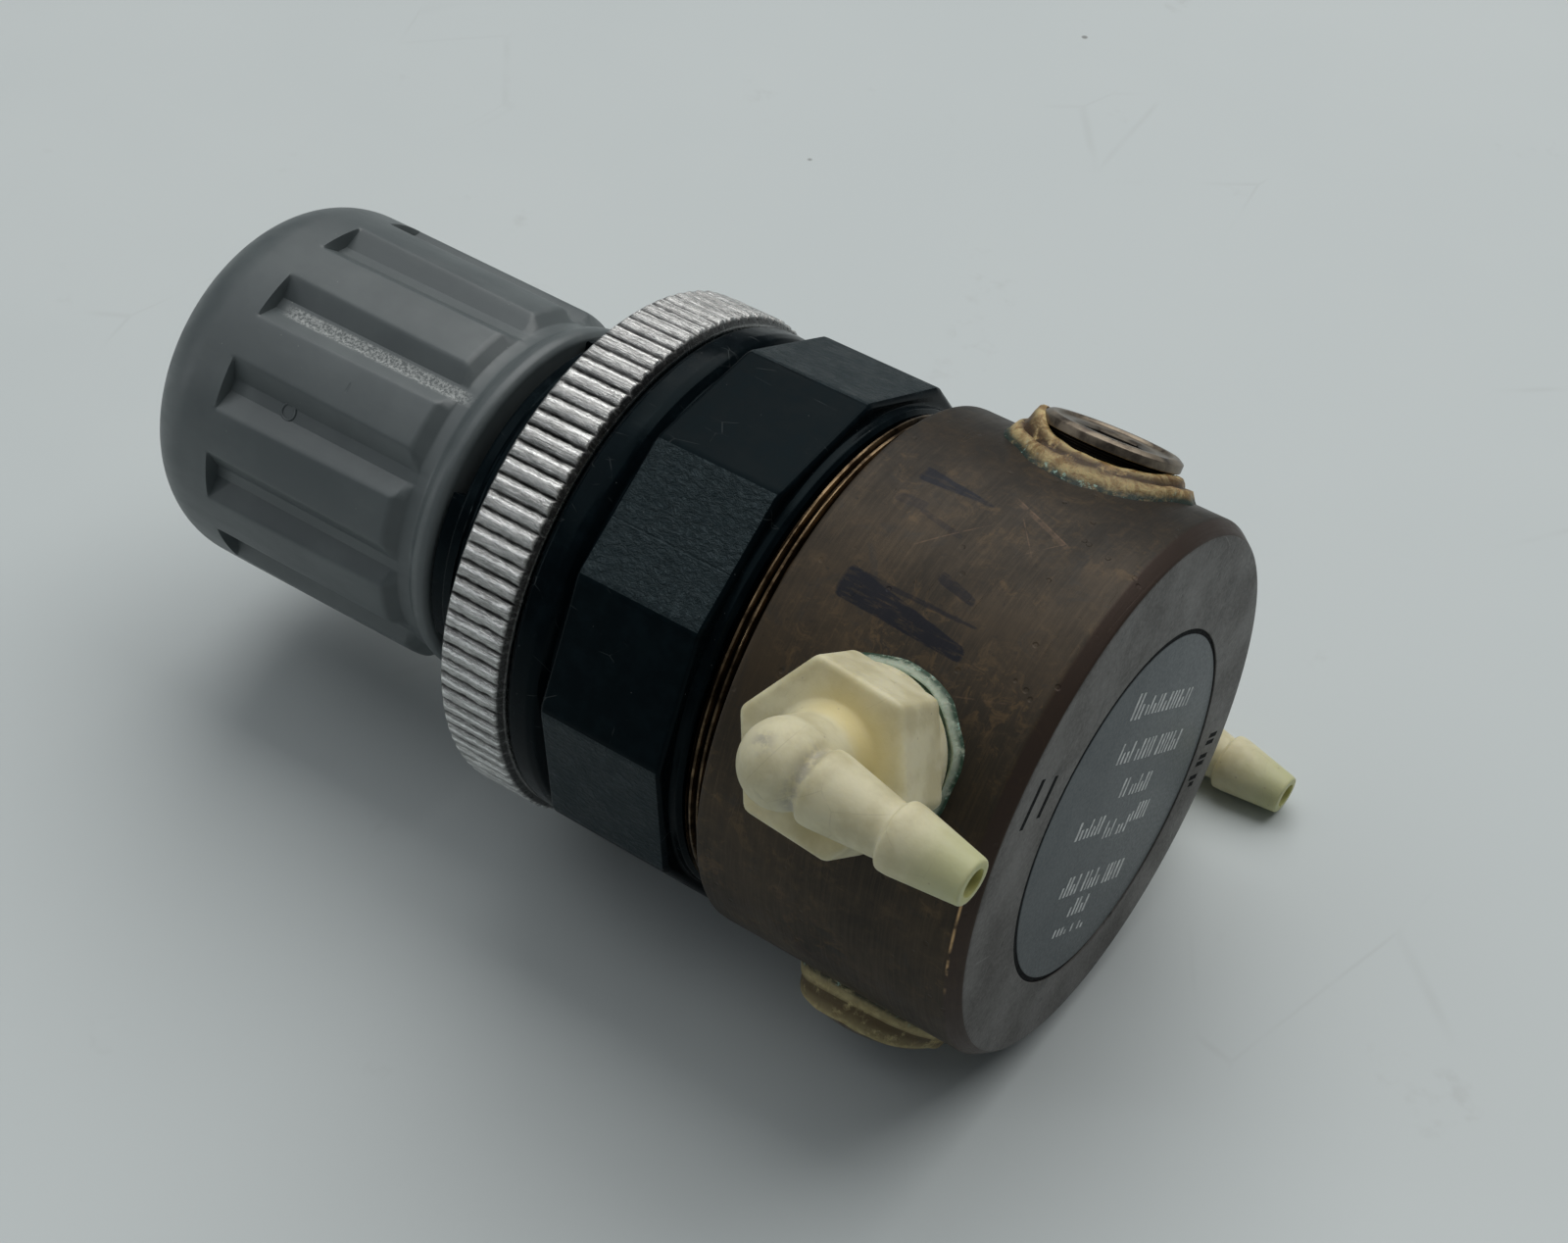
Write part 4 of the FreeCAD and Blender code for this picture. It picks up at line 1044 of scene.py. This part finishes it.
def build_knob():
    """Knob with 12 flutes, a domed end and a hexagonal hub bore; then its mould mark."""
    low, high = mm_box("adjusting_knob")
    end_x, skirt_x = low[0], high[0]
    hub_r, cavity_r, neck_r, dome_r = HUB_AF / 2 / math.cos(math.pi / 6), 11.6, 13.75, 5.3
    # Stations are x, radius, whether the flutes are cut and whether the section is the hexagon.
    inside = marked([(-27.6, 0), (-27.6, 5.7), (-20.5, 5.7)], 0, 0)
    inside += marked([(-20.5, hub_r), (-14.2, hub_r)], 0, 1)
    inside += marked([(-14.2, cavity_r), (skirt_x - 0.1, cavity_r)], 0, 0)
    skirt = marked([(skirt_x, 11.7), (skirt_x, 13.85), (skirt_x - 0.3, 14.25),
                    (skirt_x - 0.8, 14.35), (skirt_x - 1.4, 14.2), (skirt_x - 2.0, neck_r)], 0, 0)
    rise = marked([(-14.85, neck_r), (-15.05, 13.8), (-15.95, 14.7), (-33.0, KNOB_R)], 1, 0)
    skirt.append(rise[0])
    wall = [(-33.2, KNOB_R, 1, 0)] + marked([(x, KNOB_R) for x in (-33.32, -33.7, -34.6)], 0, 0)
    dome = [(end_x + dome_r - dome_r * math.sin(t), KNOB_R - dome_r + dome_r * math.cos(t), 0, 0)
            for t in np.linspace(0, math.pi / 2, 22)]
    stations = np.vstack([soften(inside, 0.1, 2), soften(skirt, 0.2, 4),
                          soften(rise, 0.35, 5)[1:], wall, dome, (end_x, 0, 0, 0)])
    half = [0, 0.9, 1.5, 2.0, 2.6, 3.8, 5.4, 6.8, 7.5, 7.9, 8.2, 8.5, 8.9, 9.6, 11.5, 13.4]
    angles = sector_angles(half, FLUTE_STEP, FLUTE_TURN)

    def shape(st, _, radius, turn):
        flute = flute_radius(folded(turn, FLUTE_STEP, FLUTE_TURN))
        soft = 0.055
        low_r = np.minimum(radius, flute)
        cut = low_r - soft * np.log1p(np.exp(-np.abs(radius - flute) / soft))
        cut = np.where(radius - flute < -0.4, radius, cut)
        hexed = HUB_AF / 2 / np.cos(np.radians(folded(turn, 60, 0)))
        out = np.where(st[:, 2:3] > 0.5, cut, radius)
        return np.where(st[:, 3:4] > 0.5, hexed, out)

    points, faces = turned(refine(stations, 2.4), angles, shape)
    make_piece("fluted_knob", points, faces, [KNOB], "knob", 30, ["adjusting_knob"])

    turn = math.radians(-51.7)
    ring = []
    for a in np.linspace(0, 2 * math.pi, 40, endpoint=False):
        for b in np.linspace(0, 2 * math.pi, 12, endpoint=False):
            reach = 0.62 + 0.1 * math.cos(b)
            across, up = reach * math.sin(a), 13.76 + 0.07 * math.sin(b)
            ring.append((-27.6 + reach * math.cos(a),
                         up * math.sin(turn) + across * math.cos(turn),
                         up * math.cos(turn) - across * math.sin(turn)))
    make_piece("knob_mould_mark", ring, grid_faces(40, 12, closed_rows=True), [KNOB], "knob",
               60)


# ---- assembly
build_body()
build_label()
for port in ("inlet", "outlet"):
    build_elbow(port)
    build_sealant(port + "_sealant_ring", port + "_seal_ring", GREEN,
                  PORT_ANGLES[port], 6.45, 20.95, 4.9)
build_sealant("upper_sealant_mound", "upper_plug_sealant", TAN,
              PORT_ANGLES["upper"], 7.1, 21.2, 4.95, ((196, 36, 1.3), (5, 42, 0.75)))
build_sealant("lower_sealant_mound", "lower_plug_sealant", OLIVE,
              PORT_ANGLES["lower"], 6.35, 22.45, 5.22)
build_plug("upper")
build_plug("lower")
build_bonnet()
build_nut()
build_knob()

slots = {row["node"]: row["material_slot"] for row in frame["record"]["subparts"]}
for node, part in frame["nodes"].items():
    if slots[node] in INNER:
        for place in part.material_slots:
            place.material = INNER[slots[node]]

# ---- floor, light and camera
floor_mesh = bpy.data.meshes.new("floor")
floor_mesh.from_pydata([(x * FLOOR_REACH, y * FLOOR_REACH, cad_low.z)
                        for x, y in ((-1, -1), (1, -1), (1, 1), (-1, 1))], [], [(0, 1, 2, 3)])
floor_mesh.materials.append(floor_material())
floor = new_object("floor", floor_mesh)

# name, place, size in metres, watts and colour; each faces the origin
for name, place, size, power, colour in (
        ("key", (0.0, 0.68, 1.12), (1.7, 1.3), 15.8, (1.0, 0.995, 0.98)),
        ("ceiling", (-0.5, -0.3, 1.2), (1.2, 1.2), 4.1, (0.96, 0.98, 1.0)),
        ("strip", (-0.6, -0.42, 0.22), (0.05, 0.3), 0.3, (0.95, 0.98, 1.0))):
    light = bpy.data.lights.new(name, "AREA")
    light.shape = "RECTANGLE"
    light.size, light.size_y = size
    light.energy = power
    light.color = colour
    lamp = new_object(name, light)
    lamp.location = place
    lamp.rotation_euler = (Vector() - Vector(place)).to_track_quat("-Z", "Y").to_euler()

world = bpy.data.worlds.new("studio")
bpy.context.scene.world = world
world.use_nodes = True
sky = world.node_tree.nodes["Background"]
sky.inputs["Color"].default_value = (0.86, 0.93, 1.0, 1)
sky.inputs["Strength"].default_value = 0.1

lens = bpy.data.cameras.new("camera")
lens.sensor_width = 36.0
lens.lens = 60.1
lens.clip_start = 0.005
camera = new_object("camera", lens)
right = Vector((0.816, 0.5773, 0.0303)).normalized()
ahead = Vector((-0.4016, 0.6037, -0.6887)).normalized()
up = right.cross(ahead).normalized()
camera.matrix_world = Matrix.Translation(Vector((87.1, -115.6, 132.4)) * MM) @ Matrix(
    (right, up, -ahead)).transposed().to_4x4()
bpy.context.scene.camera = camera
bpy.context.scene.view_settings.view_transform = "Standard"
